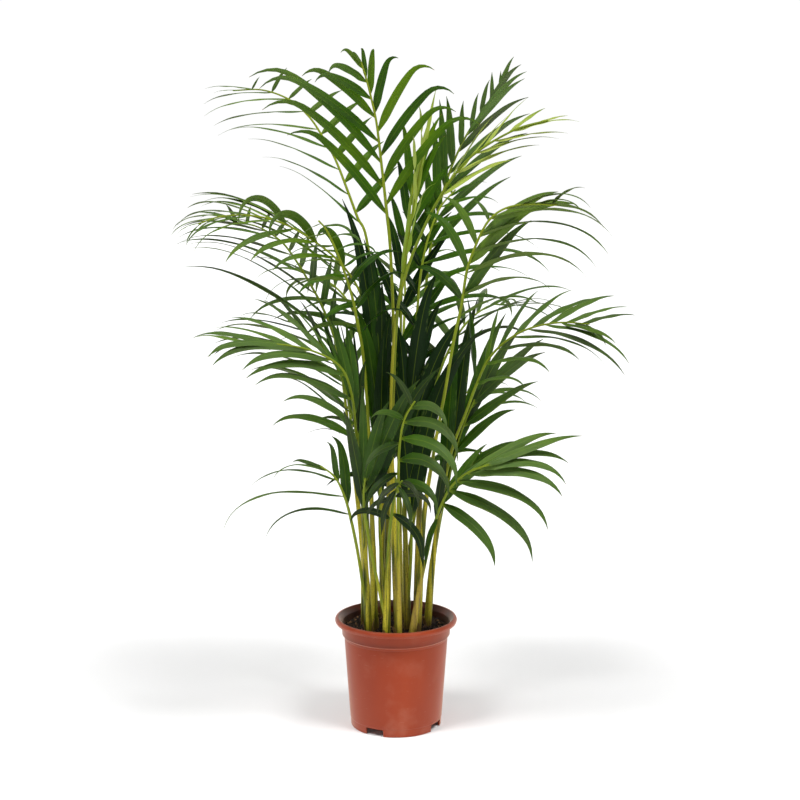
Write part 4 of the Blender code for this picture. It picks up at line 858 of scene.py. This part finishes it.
def best_leaflet(spot, path, nature, standing):
    """The first change that keeps the leaflet clear, or clear of the other canes at least."""
    cane = FRONDS[spot.frond].cane
    spare = None
    for count, change in enumerate(CHANGES):
        if spare and count > PATIENCE:
            break
        leaflet = make_leaflet(spot, path, nature, change)
        whole = Solid(cane, *coarse_blade(leaflet, ROOM))
        free = Solid(cane, *coarse_blade(leaflet, ROOM, ROOT_STRETCH / leaflet.length))
        met = [other for other in standing if (free if other.node == cane else whole).meets(other)]
        if not met:
            return leaflet, whole
        if spare is None and all(other.node == cane for other in met):
            spare = (leaflet, whole)
    return spare


# Materials

class Graph:
    """A material's node tree, with short calls to add and join its nodes."""

    def __init__(self, name):
        self.material = bpy.data.materials.new(name)
        self.material.use_nodes = True
        self.tree = self.material.node_tree
        self.shader = self.tree.nodes["Principled BSDF"]
        self.colour = None

    def node(self, kind, settings=None, **inputs):
        """A node with its settings, and its inputs joined to sockets or set to values."""
        item = self.tree.nodes.new("ShaderNode" + kind)
        for name, value in (settings or {}).items():
            setattr(item, name, value)
        for name, value in inputs.items():
            self.join(value, item.inputs[int(name[1:])] if name[1:].isdigit() else item.inputs[name])
        return item

    def join(self, value, socket):
        """Join a socket to another, or set it to a value."""
        if isinstance(value, bpy.types.NodeSocket):
            self.tree.links.new(value, socket)
        else:
            socket.default_value = value

    def math(self, operation, first, second=0.5, third=0.5, clamp=False):
        """The result of one sum."""
        settings = {"operation": operation, "use_clamp": clamp}
        return self.node("Math", settings, _0=first, _1=second, _2=third).outputs[0]

    def mix(self, share, first, second, blend="MIX"):
        """Two colours mixed by a share."""
        item = self.node("Mix", {"data_type": "RGBA", "blend_type": blend}, _0=share, _6=first, _7=second)
        return item.outputs[2]

    def paint(self, share, colour, blend="MIX"):
        """Lay a colour over the surface's own, by a share."""
        self.colour = self.mix(share, self.colour, colour, blend)

    def steps(self, value, start, end, low=0.0, high=1.0):
        """A smooth rise from low to high while the value goes from start to end."""
        settings = {"interpolation_type": "SMOOTHSTEP"}
        return self.node("MapRange", settings, _0=value, _1=start, _2=end, _3=low, _4=high).outputs[0]

    def noise(self, scale, detail=3.0, stretch=None):
        """Noise over the object's own space, drawn out along its axes where asked."""
        place = self.node("TexCoord").outputs["Object"]
        if stretch:
            place = self.node("Mapping", Vector=place, Scale=stretch).outputs[0]
        return self.node("TexNoise", Vector=place, Scale=scale, Detail=detail).outputs[0]

    def tints(self):
        """The piece's own four numbers at each point."""
        item = self.node("Attribute", {"attribute_name": TINTS})
        parts = self.node("SeparateColor", _0=item.outputs["Color"]).outputs
        return parts[0], parts[1], parts[2], item.outputs["Alpha"]

    def bump(self, height, depth):
        """Raise the surface by a height, to a depth in metres."""
        item = self.node("Bump", Strength=1.0, Distance=depth, Height=height)
        self.join(item.outputs[0], self.shader.inputs["Normal"])

    def from_axis(self):
        """How far a place is from the pot's axis, and its height."""
        place = self.node("TexCoord").outputs["Object"]
        place = self.node("VectorMath", {"operation": "SUBTRACT"}, _0=place, _1=AXIS).outputs[0]
        across, along, height = self.node("SeparateXYZ", _0=place).outputs
        squares = self.math("MULTIPLY_ADD", across, across, self.math("MULTIPLY", along, along))
        return self.math("SQRT", squares), height

    def finish(self, roughness, **constants):
        """Join the colour and the roughness, and set the shader's constants."""
        self.join(self.colour, self.shader.inputs["Base Color"])
        self.join(roughness, self.shader.inputs["Roughness"])
        for name, value in constants.items():
            self.shader.inputs[name.replace("_", " ")].default_value = value
        return self.material


def rgb(red, green, blue):
    """A linear colour from one given as it shows on a screen, from 0 to 255."""
    return (*[(part / 255.0) ** 2.2 for part in (red, green, blue)], 1.0)


def leaf_material(name, colours):
    """A palm leaflet: ribbed and glossy above, paler below, with a light midvein and a dry tip, a painted
    grey sheen on the outer leaflets, and painted shade in the clump's heart.
    """
    dark, middle, light, vein, under = [rgb(*colour) for colour in colours]
    graph = Graph(name)
    share, tone, across, below = graph.tints()
    cloud = graph.noise(14.0, 3.0)
    shade = graph.math("MULTIPLY_ADD", graph.math("SUBTRACT", cloud, 0.5), 0.7, tone, clamp=True)
    graph.colour = graph.mix(graph.steps(shade, 0.0, 0.55), dark, middle)
    graph.paint(graph.steps(shade, 0.50, 1.0), light)
    ribs = graph.math("SINE", graph.math("MULTIPLY", across, RIB_TURNS))
    graph.paint(graph.steps(ribs, -1.0, 1.0, 0.0, 0.16), vein, "SOFT_LIGHT")
    side = graph.math("ABSOLUTE", graph.math("SUBTRACT", across, 0.5))
    graph.paint(graph.steps(side, 0.010, 0.040, 0.22, 0.0), vein)
    graph.paint(graph.steps(share, 0.01, 0.07, 0.60, 0.0), vein)
    graph.paint(graph.math("MULTIPLY", below, 0.50), under)
    # Leaflets far from the axis are painted a paler grey-green: painted sheen
    reach, _ = graph.from_axis()
    graph.paint(graph.steps(reach, *PAINTED_SHEEN_ENDS, 0.0, PAINTED_SHEEN_SHARE), rgb(162, 160, 128))
    specks = graph.noise(420.0, 2.0)
    graph.paint(graph.steps(specks, 0.70, 0.78, 0.0, 0.35), under)
    dry_from = graph.math("MULTIPLY_ADD", tone, -0.03, 0.995)
    dry = graph.steps(graph.math("SUBTRACT", share, dry_from), 0.0, 0.02)
    graph.paint(dry, rgb(120, 96, 52))
    roughness = graph.math("MULTIPLY_ADD", below, 0.16, graph.steps(cloud, 0.3, 0.7, 0.30, 0.42))
    fine = graph.math("MULTIPLY_ADD", graph.noise(160.0, 2.0, (1.0, 1.0, 0.4)), 0.5, ribs)
    graph.bump(fine, 0.00012)
    return graph.finish(roughness, Specular_IOR_Level=0.12, Subsurface_Weight=0.06,
                        Subsurface_Radius=(0.6, 1.0, 0.15), Subsurface_Scale=0.002)


def stem_material():
    """Cane and stalk: yellow-green with brown scurf low down, and brighter towards the leaflets, with
    streaks that are partly its own colour and partly painted highlights and shade.
    """
    graph = Graph("palm stem")
    share, tone, age, _ = graph.tints()
    # Fine pale and dark streaks along the cane: partly its own colour, partly painted highlights and painted
    # shade
    streaks_and_highlights = graph.steps(graph.noise(210.0, 3.0, (1.0, 1.0, 0.03)), 0.34, 0.64)
    graph.colour = graph.mix(streaks_and_highlights, rgb(58, 72, 8), rgb(174, 164, 46))
    green = graph.mix(tone, rgb(78, 102, 16), rgb(142, 154, 38))
    graph.paint(graph.steps(share, 0.30, 1.0), green)
    blush = graph.steps(graph.noise(9.0, 2.0, (1.0, 1.0, 0.35)), 0.50, 0.70)
    low = graph.steps(share, 0.25, 0.85, 0.75, 0.0)
    graph.paint(graph.math("MULTIPLY", blush, low), rgb(150, 118, 62))
    scurf = graph.steps(graph.noise(900.0, 2.0, (1.0, 1.0, 0.45)), 0.56, 0.66)
    graph.paint(graph.math("MULTIPLY", scurf, low), rgb(74, 58, 28))
    foot = graph.steps(share, 0.0, 0.06, 0.8, 0.0)
    graph.paint(foot, rgb(92, 70, 40))
    graph.paint(graph.steps(age, 0.5, 1.0, 0.0, 0.9), rgb(118, 92, 60))
    roughness = graph.steps(streaks_and_highlights, 0.3, 0.7, 0.38, 0.55)
    graph.bump(graph.math("MULTIPLY_ADD", scurf, 0.6, streaks_and_highlights), 0.00022)
    return graph.finish(roughness, Specular_IOR_Level=0.20, Subsurface_Weight=0.06,
                        Subsurface_Radius=(0.8, 1.0, 0.2), Subsurface_Scale=0.002)


def plastic_material():
    """The pot's moulded plastic: satin, with faint flow marks, dust, rubbed edges, and soil smears with
    painted shade inside.
    """
    graph = Graph("terracotta plastic")
    flow = graph.noise(7.0, 5.0, (1.0, 1.0, 0.25))
    graph.colour = graph.mix(graph.steps(flow, 0.30, 0.70), rgb(131, 46, 11), rgb(147, 55, 18))
    reach, height = graph.from_axis()
    lip_foot = POT_HEIGHT - LIP_HEIGHT
    limit = graph.steps(height, lip_foot, lip_foot + STAIN_AND_SHADE_EDGE, BAND_RADIUS - WALL / 2,
                        LIP_RADIUS - LIP_WIDTH * STAIN_AND_SHADE_REACH)
    past = graph.math("SUBTRACT", reach, limit)
    inside = graph.math("MULTIPLY", graph.steps(past, -STAIN_AND_SHADE_EDGE / 4, STAIN_AND_SHADE_EDGE / 4, 1.0, 0.0),
                        graph.steps(height, lip_foot - BAND_HEIGHT, lip_foot - BAND_HEIGHT + STAIN_AND_SHADE_EDGE))
    dust = graph.math("MULTIPLY", graph.steps(graph.noise(26.0, 6.0), 0.48, 0.75), 0.35)
    dust = graph.math("MULTIPLY", dust, graph.steps(height, 0.0, 0.16, 1.0, 0.45))
    graph.paint(dust, rgb(168, 104, 84))
    scuffs = graph.steps(graph.noise(55.0, 3.0, (1.0, 1.0, 7.0)), 0.68, 0.74, 0.0, 0.25)
    graph.paint(scuffs, rgb(172, 112, 92))
    # The inner wall is painted dark brown: painted shade, broken up like soil smears
    smear_and_shade = graph.steps(graph.noise(38.0, 4.0, (1.0, 1.0, 1.6)), 0.25, 0.60, 0.62, 0.92)
    graph.paint(graph.math("MULTIPLY", inside, smear_and_shade), rgb(48, 26, 16))
    grain = graph.noise(700.0, 2.0)
    roughness = graph.math("MULTIPLY_ADD", dust, 0.5, graph.steps(flow, 0.3, 0.7, 0.36, 0.44))
    graph.bump(graph.math("MULTIPLY_ADD", flow, 0.8, graph.math("MULTIPLY", grain, 0.25)), 0.00025)
    return graph.finish(roughness, Specular_IOR_Level=0.30, Sheen_Weight=0.60, Sheen_Roughness=0.4,
                        Sheen_Tint=rgb(255, 220, 198), Subsurface_Weight=0.03,
                        Subsurface_Radius=(1.0, 0.3, 0.15), Subsurface_Scale=0.002)


def soil_material():
    """Dark moist peat, with paler crumbs and fibres."""
    graph = Graph("potting mix")
    _, tone, _, _ = graph.tints()
    patch = graph.noise(45.0, 6.0)
    fine = graph.noise(380.0, 5.0)
    graph.colour = graph.mix(graph.steps(patch, 0.35, 0.65), rgb(18, 12, 8), rgb(40, 27, 18))
    graph.paint(graph.steps(fine, 0.52, 0.72, 0.0, 0.6), rgb(70, 48, 30))
    graph.paint(graph.steps(tone, 0.15, 1.0), rgb(122, 92, 62))
    roughness = graph.steps(patch, 0.40, 0.60, 0.95, 0.70)
    graph.bump(fine, 0.0012)
    return graph.finish(roughness, Specular_IOR_Level=0.35)


def floor_material():
    """A pale, plain floor."""
    graph = Graph("pale floor")
    graph.colour = graph.mix(graph.noise(3.0, 2.0), rgb(241, 241, 241), rgb(238, 238, 238))
    return graph.finish(0.8, Specular_IOR_Level=0.1)


# Meshes

def new_piece(name, growth, materials, crease=50.0):
    """A smooth-shaded object of the palm, standing about the pot's own axis."""
    mesh = bpy.data.meshes.new(name)
    mesh.from_pydata([tuple(corner) for corner in growth.corners], [], growth.faces)
    for material in materials:
        mesh.materials.append(material)
    mesh.polygons.foreach_set("material_index", growth.kinds)
    if growth.tints:
        layer = mesh.attributes.new(TINTS, "FLOAT_COLOR", "POINT")
        layer.data.foreach_set("color", [part for tint in growth.tints for part in tint])
    smooth(mesh, crease)
    mesh.transform(Matrix.Translation(AXIS))
    return new_object(name, mesh)


def new_object(name, data):
    """A new object in the scene."""
    item = bpy.data.objects.new(name, data)
    bpy.context.scene.collection.objects.link(item)
    return item


def smooth(mesh, crease):
    """Shade the mesh smooth, with a sharp edge where it turns by more than the crease in degrees."""
    mesh.shade_smooth()
    mesh.set_sharp_from_angle(angle=radians(crease))


def declare(item, node):
    """The piece rides on the one body and stands for its solid."""
    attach(item, "root")
    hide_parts(node)


class Growth:
    """The corners, faces, tints and materials of one mesh, as it is put together."""

    def __init__(self):
        self.corners = []
        self.faces = []
        self.tints = []
        self.kinds = []

    def add(self, corners, faces, tints, kind=0):
        """Add a shape of its own."""
        base = len(self.corners)
        self.corners += corners
        self.faces += [tuple(base + i for i in face) for face in faces]
        self.tints += tints
        self.kinds += [kind] * len(faces)

    def add_rings(self, rings, tints, kind=0):
        """Skin a row of rings of corners, and close both ends."""
        size = len(rings[0])
        last = size * (len(rings) - 1)
        faces = [(near + i, near + size + i, near + size + (i + 1) % size, near + (i + 1) % size)
                 for near in range(0, last, size) for i in range(size)]
        faces += [tuple(range(size)), tuple(reversed(range(last, last + size)))]
        self.add([corner for ring in rings for corner in ring], faces,
                 [tint for ring in tints for tint in ring], kind)


def fine_leaflet(growth, leaflet, fine_root, tone, draw):
    """One leaflet as a thin closed blade with a ridged fold, waved edges and a long tip."""
    shares = [i / LEAF_ROWS for i in range(LEAF_ROWS + 1)]
    wave = draw.uniform(0.0, 2 * pi)
    waves = draw.uniform(*EDGE_WAVES)
    bow = draw.uniform(-BOW, BOW) * leaflet.length
    pull = fine_root - leaflet.root
    rings = []
    tints = []
    for share, (spot, along, upper) in zip(shares, leaflet_line(leaflet, shares)):
        right = upper.cross(along)
        spot = spot + pull * max(0.0, 1.0 - share / ROOT_PULL) + right * (bow * share * share)
        half = max(leaflet.width / 2 * blade_shape(share), TIP_HALF_WIDTH)
        fold = half * (FOLD + ROOT_FOLD * max(0.0, 1.0 - share / ROOT_FOLD_END))
        ripple = half * EDGE_WAVE * sin(wave + 2 * pi * waves * share)
        ripple *= min(1.0, share / EDGE_WAVE_START)
        top = []
        for k in SECTION:
            pleat = PLEAT * half * cos(PLEAT_TURNS * k)
            rise = ripple * k * abs(k) + pleat - fold * abs(k) ** FOLD_POWER
            top.append(spot + right * (half * k) + upper * rise)
        under = []
        for k, corner in list(zip(SECTION, top))[-2:0:-1]:
            thick = LEAF_THICKNESS * (1.0 - EDGE_THINNING * abs(k)) * (1.0 - LEAF_THINNING * share)
            under.append(corner - upper * thick)
        rings.append(top + under)
        tints.append([(share, tone, 0.5 + 0.5 * k, 0.0) for k in SECTION]
                     + [(share, tone, 0.5 + 0.5 * k, 1.0) for k in SECTION[-2:0:-1]])
    growth.add_rings(rings, tints, LEAF_KIND)


def fine_stem(growth, frond, tone, draw):
    """A stalk and its midrib: round, with the ends of old sheaths, and grooved above the leaf's foot."""
    path = fine_path(frond)
    first = frond.bare * path.length
    main = frond.route[0][2] < SOIL_TOP
    ends = [first * (place + draw.uniform(-SHEATH_SCATTER, SHEATH_SCATTER)) for place in SHEATH_ENDS if main]
    marks = sorted(list(path.marks) + [end + step for end in ends for step in (-SHEATH_LIP, 0.0)])
    side = Vector((1.0, 0.0, 0.0))
    rings = []
    tints = []
    for mark in marks:
        place, along = path.at(mark)
        side = square_to(side, along)
        cross = along.cross(side)
        upper = frond_axes(frond, along)[1]
        radius = stalk_radius(frond, path, mark)
        radius *= 1.0 + SHEATH_THICKNESS * sum(1 for end in ends if mark < end)
        groove = GROOVE * past(mark / first, GROOVE_START)
        ring = []
        for i in range(STEM_SIDES):
            angle = -2 * pi * i / STEM_SIDES
            way = side * cos(angle) + cross * sin(angle)
            ring.append(place + way * radius * (1.0 - groove * max(0.0, way.dot(upper)) ** GROOVE_POWER))
        rings.append(ring)
        share = min(mark / first, 1.0)
        tints.append([(share if main else 0.5 + 0.5 * share, tone, 0.0, 1.0)] * STEM_SIDES)
    growth.add_rings(rings, tints, STEM_KIND)


def husk(growth, foot, radius, draw):
    """A dry pointed scale that clasps the foot of a cane."""
    height = draw.uniform(*HUSK_HEIGHTS)
    start = draw.uniform(0.0, 2 * pi)
    spread = draw.uniform(*HUSK_ARCS)
    rings = []
    for row in range(HUSK_ROWS + 1):
        share = row / HUSK_ROWS
        arc = spread * (1.0 - share) ** HUSK_NARROWING + HUSK_TIP_ARC
        lean = radius + HUSK_GAP + HUSK_LEAN * share * share
        level = foot + UP * (height * share - HUSK_DEPTH)
        angles = [start + arc * (i / HUSK_SIDES - 0.5) for i in range(HUSK_SIDES + 1)]
        ways = [level_way(angle) for angle in angles]
        rings.append([level + way * (lean + HUSK_THICKNESS) for way in reversed(ways)]
                     + [level + way * lean for way in ways])
    growth.add_rings(rings, [[HUSK_TINT] * len(ring) for ring in rings], STEM_KIND)


def build_cane(cane, paths, leaflets, draw, leaf, stem):
    """One cane with its fronds as one fine mesh."""
    growth = Growth()
    for number, frond in enumerate(FRONDS):
        if frond.cane != cane:
            continue
        tone = draw.uniform(*TONES)
        fine_stem(growth, frond, tone, draw)
        fine = fine_path(frond)
        coarse = paths[number]
        for leaflet in leaflets:
            if leaflet.frond == number:
                mark = nearest_mark(coarse, leaflet.root)
                root = fine.at(mark / coarse.length * fine.length)[0]
                # Leaflets near the clump's heart get a lower tone, so a darker green: painted shade
                middle = leaflet.root + leaflet.along * (leaflet.length * HEART_PLACE)
                inside = max(0.0, 1.0 - hypot(middle.x, middle.y * HEART_DEPTH) / PAINTED_SHADE_REACH)
                inside *= 1.0 - within((middle.z - HEART_TOP) / HEART_FADE)
                own = within(tone + draw.gauss(0.0, TONE_SCATTER) - inside * inside)
                fine_leaflet(growth, leaflet, root, own, draw)
    foot = Vector((*FIRST_FRONDS[cane].route[0][:2], SOIL_TOP))
    for _ in range(draw.randint(*HUSKS)):
        husk(growth, foot, CANE_RADIUS * HUSK_FOOT, draw)
    declare(new_piece(cane + "_fronds", growth, (leaf, stem)), cane)


def nearest_mark(path, place):
    """How far along the path a place on it lies."""
    best = (1.0, 0.0)
    for step in range(len(path.places) - 1):
        start = path.places[step]
        run = path.places[step + 1] - start
        share = within((place - start).dot(run) / run.length_squared)
        best = min(best, ((start + run * share - place).length, path.marks[step] + share * run.length))
    return best[1]


# Pot and soil

def filleted(outline):
    """An outline of radius, height and fillet, with each corner rounded by an arc of its fillet's radius."""
    line = []
    for i, (radius, height, fillet) in enumerate(outline):
        here = Vector((radius, height))
        if not fillet or i in (0, len(outline) - 1):
            line.append(here)
            continue
        back = (Vector(outline[i - 1][:2]) - here).normalized()
        ahead = (Vector(outline[i + 1][:2]) - here).normalized()
        corner = acos(max(-1.0, min(1.0, back.dot(ahead))))
        reach = fillet / tan(corner / 2)
        centre = here + (back + ahead).normalized() * (fillet / sin(corner / 2))
        first = here + back * reach - centre
        turn = atan2(first.x * ahead.y - first.y * ahead.x, first.dot(ahead))
        sweep = copysign(pi - corner, turn)
        for step in range(FILLET_STEPS + 1):
            angle = sweep * step / FILLET_STEPS
            line.append(centre + Vector((first.x * cos(angle) - first.y * sin(angle),
                                         first.x * sin(angle) + first.y * cos(angle))))
    return line


def lathe(line, sides):
    """Corners and faces of a body turned from a line that starts and ends on the axis."""
    corners = [Vector((0.0, 0.0, line[0].y)), Vector((0.0, 0.0, line[-1].y))]
    for spot in line[1:-1]:
        for side in range(sides):
            angle = 2 * pi * side / sides
            corners.append(Vector((spot.x * cos(angle), spot.x * sin(angle), spot.y)))
    rows = len(line) - 2
    faces = []
    for side in range(sides):
        after = (side + 1) % sides
        faces.append((0, 2 + side, 2 + after))
        for row in range(rows - 1):
            near = 2 + row * sides
            faces.append((near + side, near + sides + side, near + sides + after, near + after))
        last = 2 + (rows - 1) * sides
        faces.append((last + after, last + side, 1))
    return corners, faces


def pot_outline():
    """The pot's section from its floor inside, over the lip and band, to the underside of its floor."""
    under_lip = POT_HEIGHT - LIP_HEIGHT
    under_band = under_lip - BAND_HEIGHT
    floor_top = FLOOR_LIFT + FLOOR_THICKNESS
    slope = (BODY_TOP_RADIUS - FOOT_RADIUS) / under_band
    line_height = under_band - LINE_DROP
    line_radius = FOOT_RADIUS + slope * line_height
    foot_radius = FOOT_RADIUS + slope * FOOT_STEP_HEIGHT
    lip = [(LIP_RADIUS - LIP_WIDTH * inward, POT_HEIGHT - LIP_HEIGHT * down, fillet)
           for inward, down, fillet in LIP_CORNERS]
    return [
        (0.0, floor_top, 0.0),
        (FOOT_RADIUS - WALL, floor_top, FLOOR_FILLET),
        (BODY_TOP_RADIUS - WALL, under_band, WALL_FILLET),
        (BAND_RADIUS - 2 * WALL, under_band + WALL, WALL_FILLET),
        (BAND_RADIUS - WALL, under_lip, UNDER_LIP_FILLETS[0]),
        *lip,
        (BAND_RADIUS, under_lip, UNDER_LIP_FILLETS[1]),
        (BAND_RADIUS - WALL * 0.5, under_band + LEDGE_RISE, LEDGE_FILLET),
        (BODY_TOP_RADIUS + LEDGE_OVERHANG, under_band - WALL, LEDGE_FILLET),
        (line_radius, line_height + LINE_HALF, 0.0),
        (line_radius - LINE_DEPTH, line_height, LINE_DEPTH),
        (line_radius, line_height - LINE_HALF, 0.0),
        (foot_radius, FOOT_STEP_HEIGHT + LINE_HALF, FOOT_STEP_FILLET),
        (foot_radius - FOOT_STEP, FOOT_STEP_HEIGHT - FOOT_STEP_FILLET, FOOT_STEP_FILLET),
        (FOOT_RADIUS - FOOT_DRAFT, 0.0, FOOT_FILLETS[0]),
        (FOOT_RADIUS - FOOT_WIDTH, 0.0, FOOT_FILLETS[0]),
        (FOOT_RADIUS - FOOT_WIDTH, FLOOR_LIFT, FOOT_FILLETS[1]),
        (0.0, FLOOR_LIFT, 0.0),
    ]


def bar(size, place, angle, owner):
    """A box with rounded edges in a collection, to cut with."""
    mesh = bpy.data.meshes.new("bar")
    shape = bmesh.new()
    bmesh.ops.create_cube(shape, size=1.0)
    shape.to_mesh(mesh)
    shape.free()
    mesh.transform(Matrix.Diagonal((*size, 1.0)))
    mesh.transform(Matrix.Rotation(angle, 4, "Z"))
    mesh.transform(Matrix.Translation(place + AXIS))
    item = bpy.data.objects.new("bar", mesh)
    bevel = item.modifiers.new("round", "BEVEL")
    bevel.width = CUT_FILLET
    bevel.segments = CUT_STEPS
    owner.objects.link(item)


def build_pot(material):
    """The nursery pot, with its notched foot and its drain slots."""
    growth = Growth()
    growth.add(*lathe(filleted(pot_outline()), POT_TURNS), [])
    pot = new_piece("nursery_pot", growth, (material,), POT_CREASE)
    cutters = bpy.data.collections.new("pot_cutters")
    bpy.context.scene.collection.children.link(cutters)
    notch = (NOTCH_DEPTH, 2 * FOOT_RADIUS * sin(NOTCH_ARC / 2), 2 * NOTCH_HEIGHT)
    drain = (DRAIN_WIDTH, DRAIN_LENGTH, 5 * FLOOR_THICKNESS)
    for i in range(NOTCHES):
        angle = NOTCH_FIRST + 2 * pi * i / NOTCHES
        way = level_way(angle)
        bar(notch, way * FOOT_RADIUS, angle, cutters)
        bar(drain, way * DRAIN_RADIUS + UP * FLOOR_LIFT, angle, cutters)
    knife = pot.modifiers.new("notches and drains", "BOOLEAN")
    knife.operation = "DIFFERENCE"
    knife.operand_type = "COLLECTION"
    knife.collection = cutters
    knife.solver = "EXACT"
    bpy.context.view_layer.update()
    mesh = bpy.data.meshes.new_from_object(pot.evaluated_get(bpy.context.evaluated_depsgraph_get()))
    pot.modifiers.clear()
    pot.data = mesh
    mesh.materials.clear()
    mesh.materials.append(material)
    smooth(mesh, POT_CREASE)
    for item in list(cutters.objects):
        bpy.data.objects.remove(item)
    bpy.data.collections.remove(cutters)
    declare(pot, "pot")


def soil_level(x, y):
    """The height of the rough soil at a place."""
    far = hypot(x, y) / (BAND_RADIUS - WALL)
    crown = SOIL_CROWN * (1.0 - max(0.0, far - SOIL_CROWN_SHARE) / (1.0 - SOIL_CROWN_SHARE))
    level = SOIL_TOP - SOIL_CROWN + min(crown, SOIL_CROWN)
    for layer, (scale, height) in enumerate(LUMPS):
        level += noise.noise(Vector((x, y, layer)) * scale) * height
    return level


def build_soil(material, draw):
    """The potting mix: a rough top, with crumbs of peat and bark and a few pale fibres on it."""
    edge = SOIL_TOP - SOIL_CROWN
    under_band = POT_HEIGHT - LIP_HEIGHT - BAND_HEIGHT
    shrink = GAP * WALL_SLOPE_SHARE
    floor_top = FLOOR_LIFT + FLOOR_THICKNESS + GAP
    edge_radius = BAND_RADIUS - 1.5 * WALL - shrink
    line = [Vector((0.0, SOIL_TOP))]
    line += [Vector((edge_radius * i / SOIL_ROWS, edge)) for i in range(1, SOIL_ROWS + 1)]
    line += [Vector((BAND_RADIUS - 2 * WALL - shrink, under_band + WALL)),
             Vector((BODY_TOP_RADIUS - WALL - shrink, under_band)),
             Vector((FOOT_RADIUS - WALL - shrink, floor_top)),
             Vector((0.0, floor_top))]
    corners, faces = lathe(line, SOIL_TURNS)
    for spot in [corners[0]] + corners[2:2 + SOIL_ROWS * SOIL_TURNS]:
        spot.z = soil_level(spot.x, spot.y)
    growth = Growth()
    growth.add(corners, faces, [(0.0, 0.0, 0.0, 1.0)] * len(corners))
    for _ in range(CRUMBS):
        add_crumb(growth, draw, edge_radius - CRUMB_EDGE)
    for _ in range(FIBRES):
        add_fibre(growth, draw, edge_radius - FIBRE_EDGE)
    declare(new_piece("potting_mix", growth, (material,), crease=60.0), "soil")


def soil_spot(draw, radius):
    """A place drawn evenly over the soil's top."""
    far = radius * sqrt(draw.random())
    angle = draw.uniform(0.0, 2 * pi)
    return far * cos(angle), far * sin(angle)


def add_crumb(growth, draw, radius):
    """One lump, a knocked-about ball half sunk in the top."""
    x, y = soil_spot(draw, radius)
    size = draw.choice(CRUMB_SIZES) * draw.uniform(*CRUMB_SPREAD)
    stretch = Vector([draw.uniform(*limits) for limits in CRUMB_STRETCHES]) * size
    turn = Quaternion([draw.random() for _ in range(4)]).normalized()
    tone = draw.choice(CRUMB_TONES) if draw.random() < CRUMB_TONED else 0.0
    middle = Vector((x, y, soil_level(x, y) + size * CRUMB_LIFT))
    corners = [middle + turn @ (corner * stretch) * draw.uniform(*CRUMB_KNOCKS) for corner in BALL[0]]
    growth.add(corners, BALL[1], [(0.0, tone, 0.0, 1.0)] * len(corners))


def add_fibre(growth, draw, radius):
    """One bent fibre that lies on the top."""
    x, y = soil_spot(draw, radius)
    heading = draw.uniform(0.0, 2 * pi)
    bend = draw.uniform(-FIBRE_BEND, FIBRE_BEND)
    step = draw.uniform(*FIBRE_LENGTHS) / FIBRE_STEPS
    thick = draw.uniform(*FIBRE_RADII)
    rings = []
    for i in range(FIBRE_STEPS + 1):
        share = i / FIBRE_STEPS
        angle = heading + bend * share
        x += cos(angle) * step
        y += sin(angle) * step
        arch = FIBRE_ARCH * sin(share * pi) if bend > 0 else 0.0
        middle = Vector((x, y, soil_level(x, y) + FIBRE_LIFT + arch))
        across = Vector((-sin(angle), cos(angle), 0.0))
        turns = [-2 * pi * side / FIBRE_SIDES for side in range(FIBRE_SIDES)]
        rings.append([middle + (across * cos(turn) + UP * sin(turn)) * thick for turn in turns])
    growth.add_rings(rings, [[(0.0, FIBRE_TONE, 0.0, 1.0)] * FIBRE_SIDES] * len(rings))


def ball():
    """The corners and faces of a small ball."""
    shape = bmesh.new()
    bmesh.ops.create_icosphere(shape, subdivisions=1, radius=1.0)
    spots = [corner.co.copy() for corner in shape.verts]
    sides = [tuple(corner.index for corner in face.verts) for face in shape.faces]
    shape.free()
    return spots, sides


# Stage

def build_world():
    """White walls all round, and a dimmer ceiling."""
    world = bpy.data.worlds.new("studio")
    world.use_nodes = True
    tree = world.node_tree
    way = tree.nodes.new("ShaderNodeTexCoord")
    parts = tree.nodes.new("ShaderNodeSeparateXYZ")
    dim = tree.nodes.new("ShaderNodeMapRange")
    dim.interpolation_type = "SMOOTHSTEP"
    for place, value in enumerate(CEILING, 1):
        dim.inputs[place].default_value = value
    tree.links.new(way.outputs["Generated"], parts.inputs[0])
    tree.links.new(parts.outputs[2], dim.inputs[0])
    tree.links.new(dim.outputs[0], tree.nodes["Background"].inputs["Strength"])
    tree.nodes["Background"].inputs["Color"].default_value = (1.0, 1.0, 1.0, 1.0)
    bpy.context.scene.world = world


def build_stage():
    """A pale floor, soft studio light and the photograph's camera."""
    bpy.ops.mesh.primitive_plane_add(size=FLOOR_SIZE, location=(0.0, 0.0, -FLOOR_DROP))
    floor = bpy.context.object
    floor.name = "floor"
    floor.data.materials.append(floor_material())
    for name, turn, height, strength, spread in LIGHTS:
        light = bpy.data.lights.new(name, "SUN")
        light.energy = strength
        light.angle = radians(spread)
        new_object(name, light).rotation_euler = (radians(90.0 - height), 0.0, radians(turn))
    build_world()
    bpy.context.scene.view_settings.view_transform = "Standard"
    lens = bpy.data.cameras.new("photograph")
    lens.sensor_width = SENSOR
    lens.lens = SENSOR * FOCAL_PIXELS / IMAGE_PIXELS
    camera = new_object("photograph", lens)
    camera.location = Vector(CAMERA_PLACE) + AXIS
    camera.rotation_euler = (pi / 2 - CAMERA_PITCH, 0.0, 0.0)
    bpy.context.scene.camera = camera


def main():
    """Dress every node and set the stage."""
    draw = random.Random(SEED + 1)
    stem = stem_material()
    mature = leaf_material("palm leaflet", MATURE)
    young = leaf_material("young leaflet", YOUNG)
    paths, leaflets = settle()
    for cane in CANES:
        build_cane(cane, paths, leaflets, draw, young if cane == "new_leaves" else mature, stem)
    build_pot(plastic_material())
    build_soil(soil_material(), draw)
    build_stage()


POT_LOW, POT_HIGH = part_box("pot")
AXIS = Vector(((POT_LOW[0] + POT_HIGH[0]) / 2, (POT_LOW[1] + POT_HIGH[1]) / 2, 0.0))
BALL = ball()
main()
bpy.context.view_layer.update()
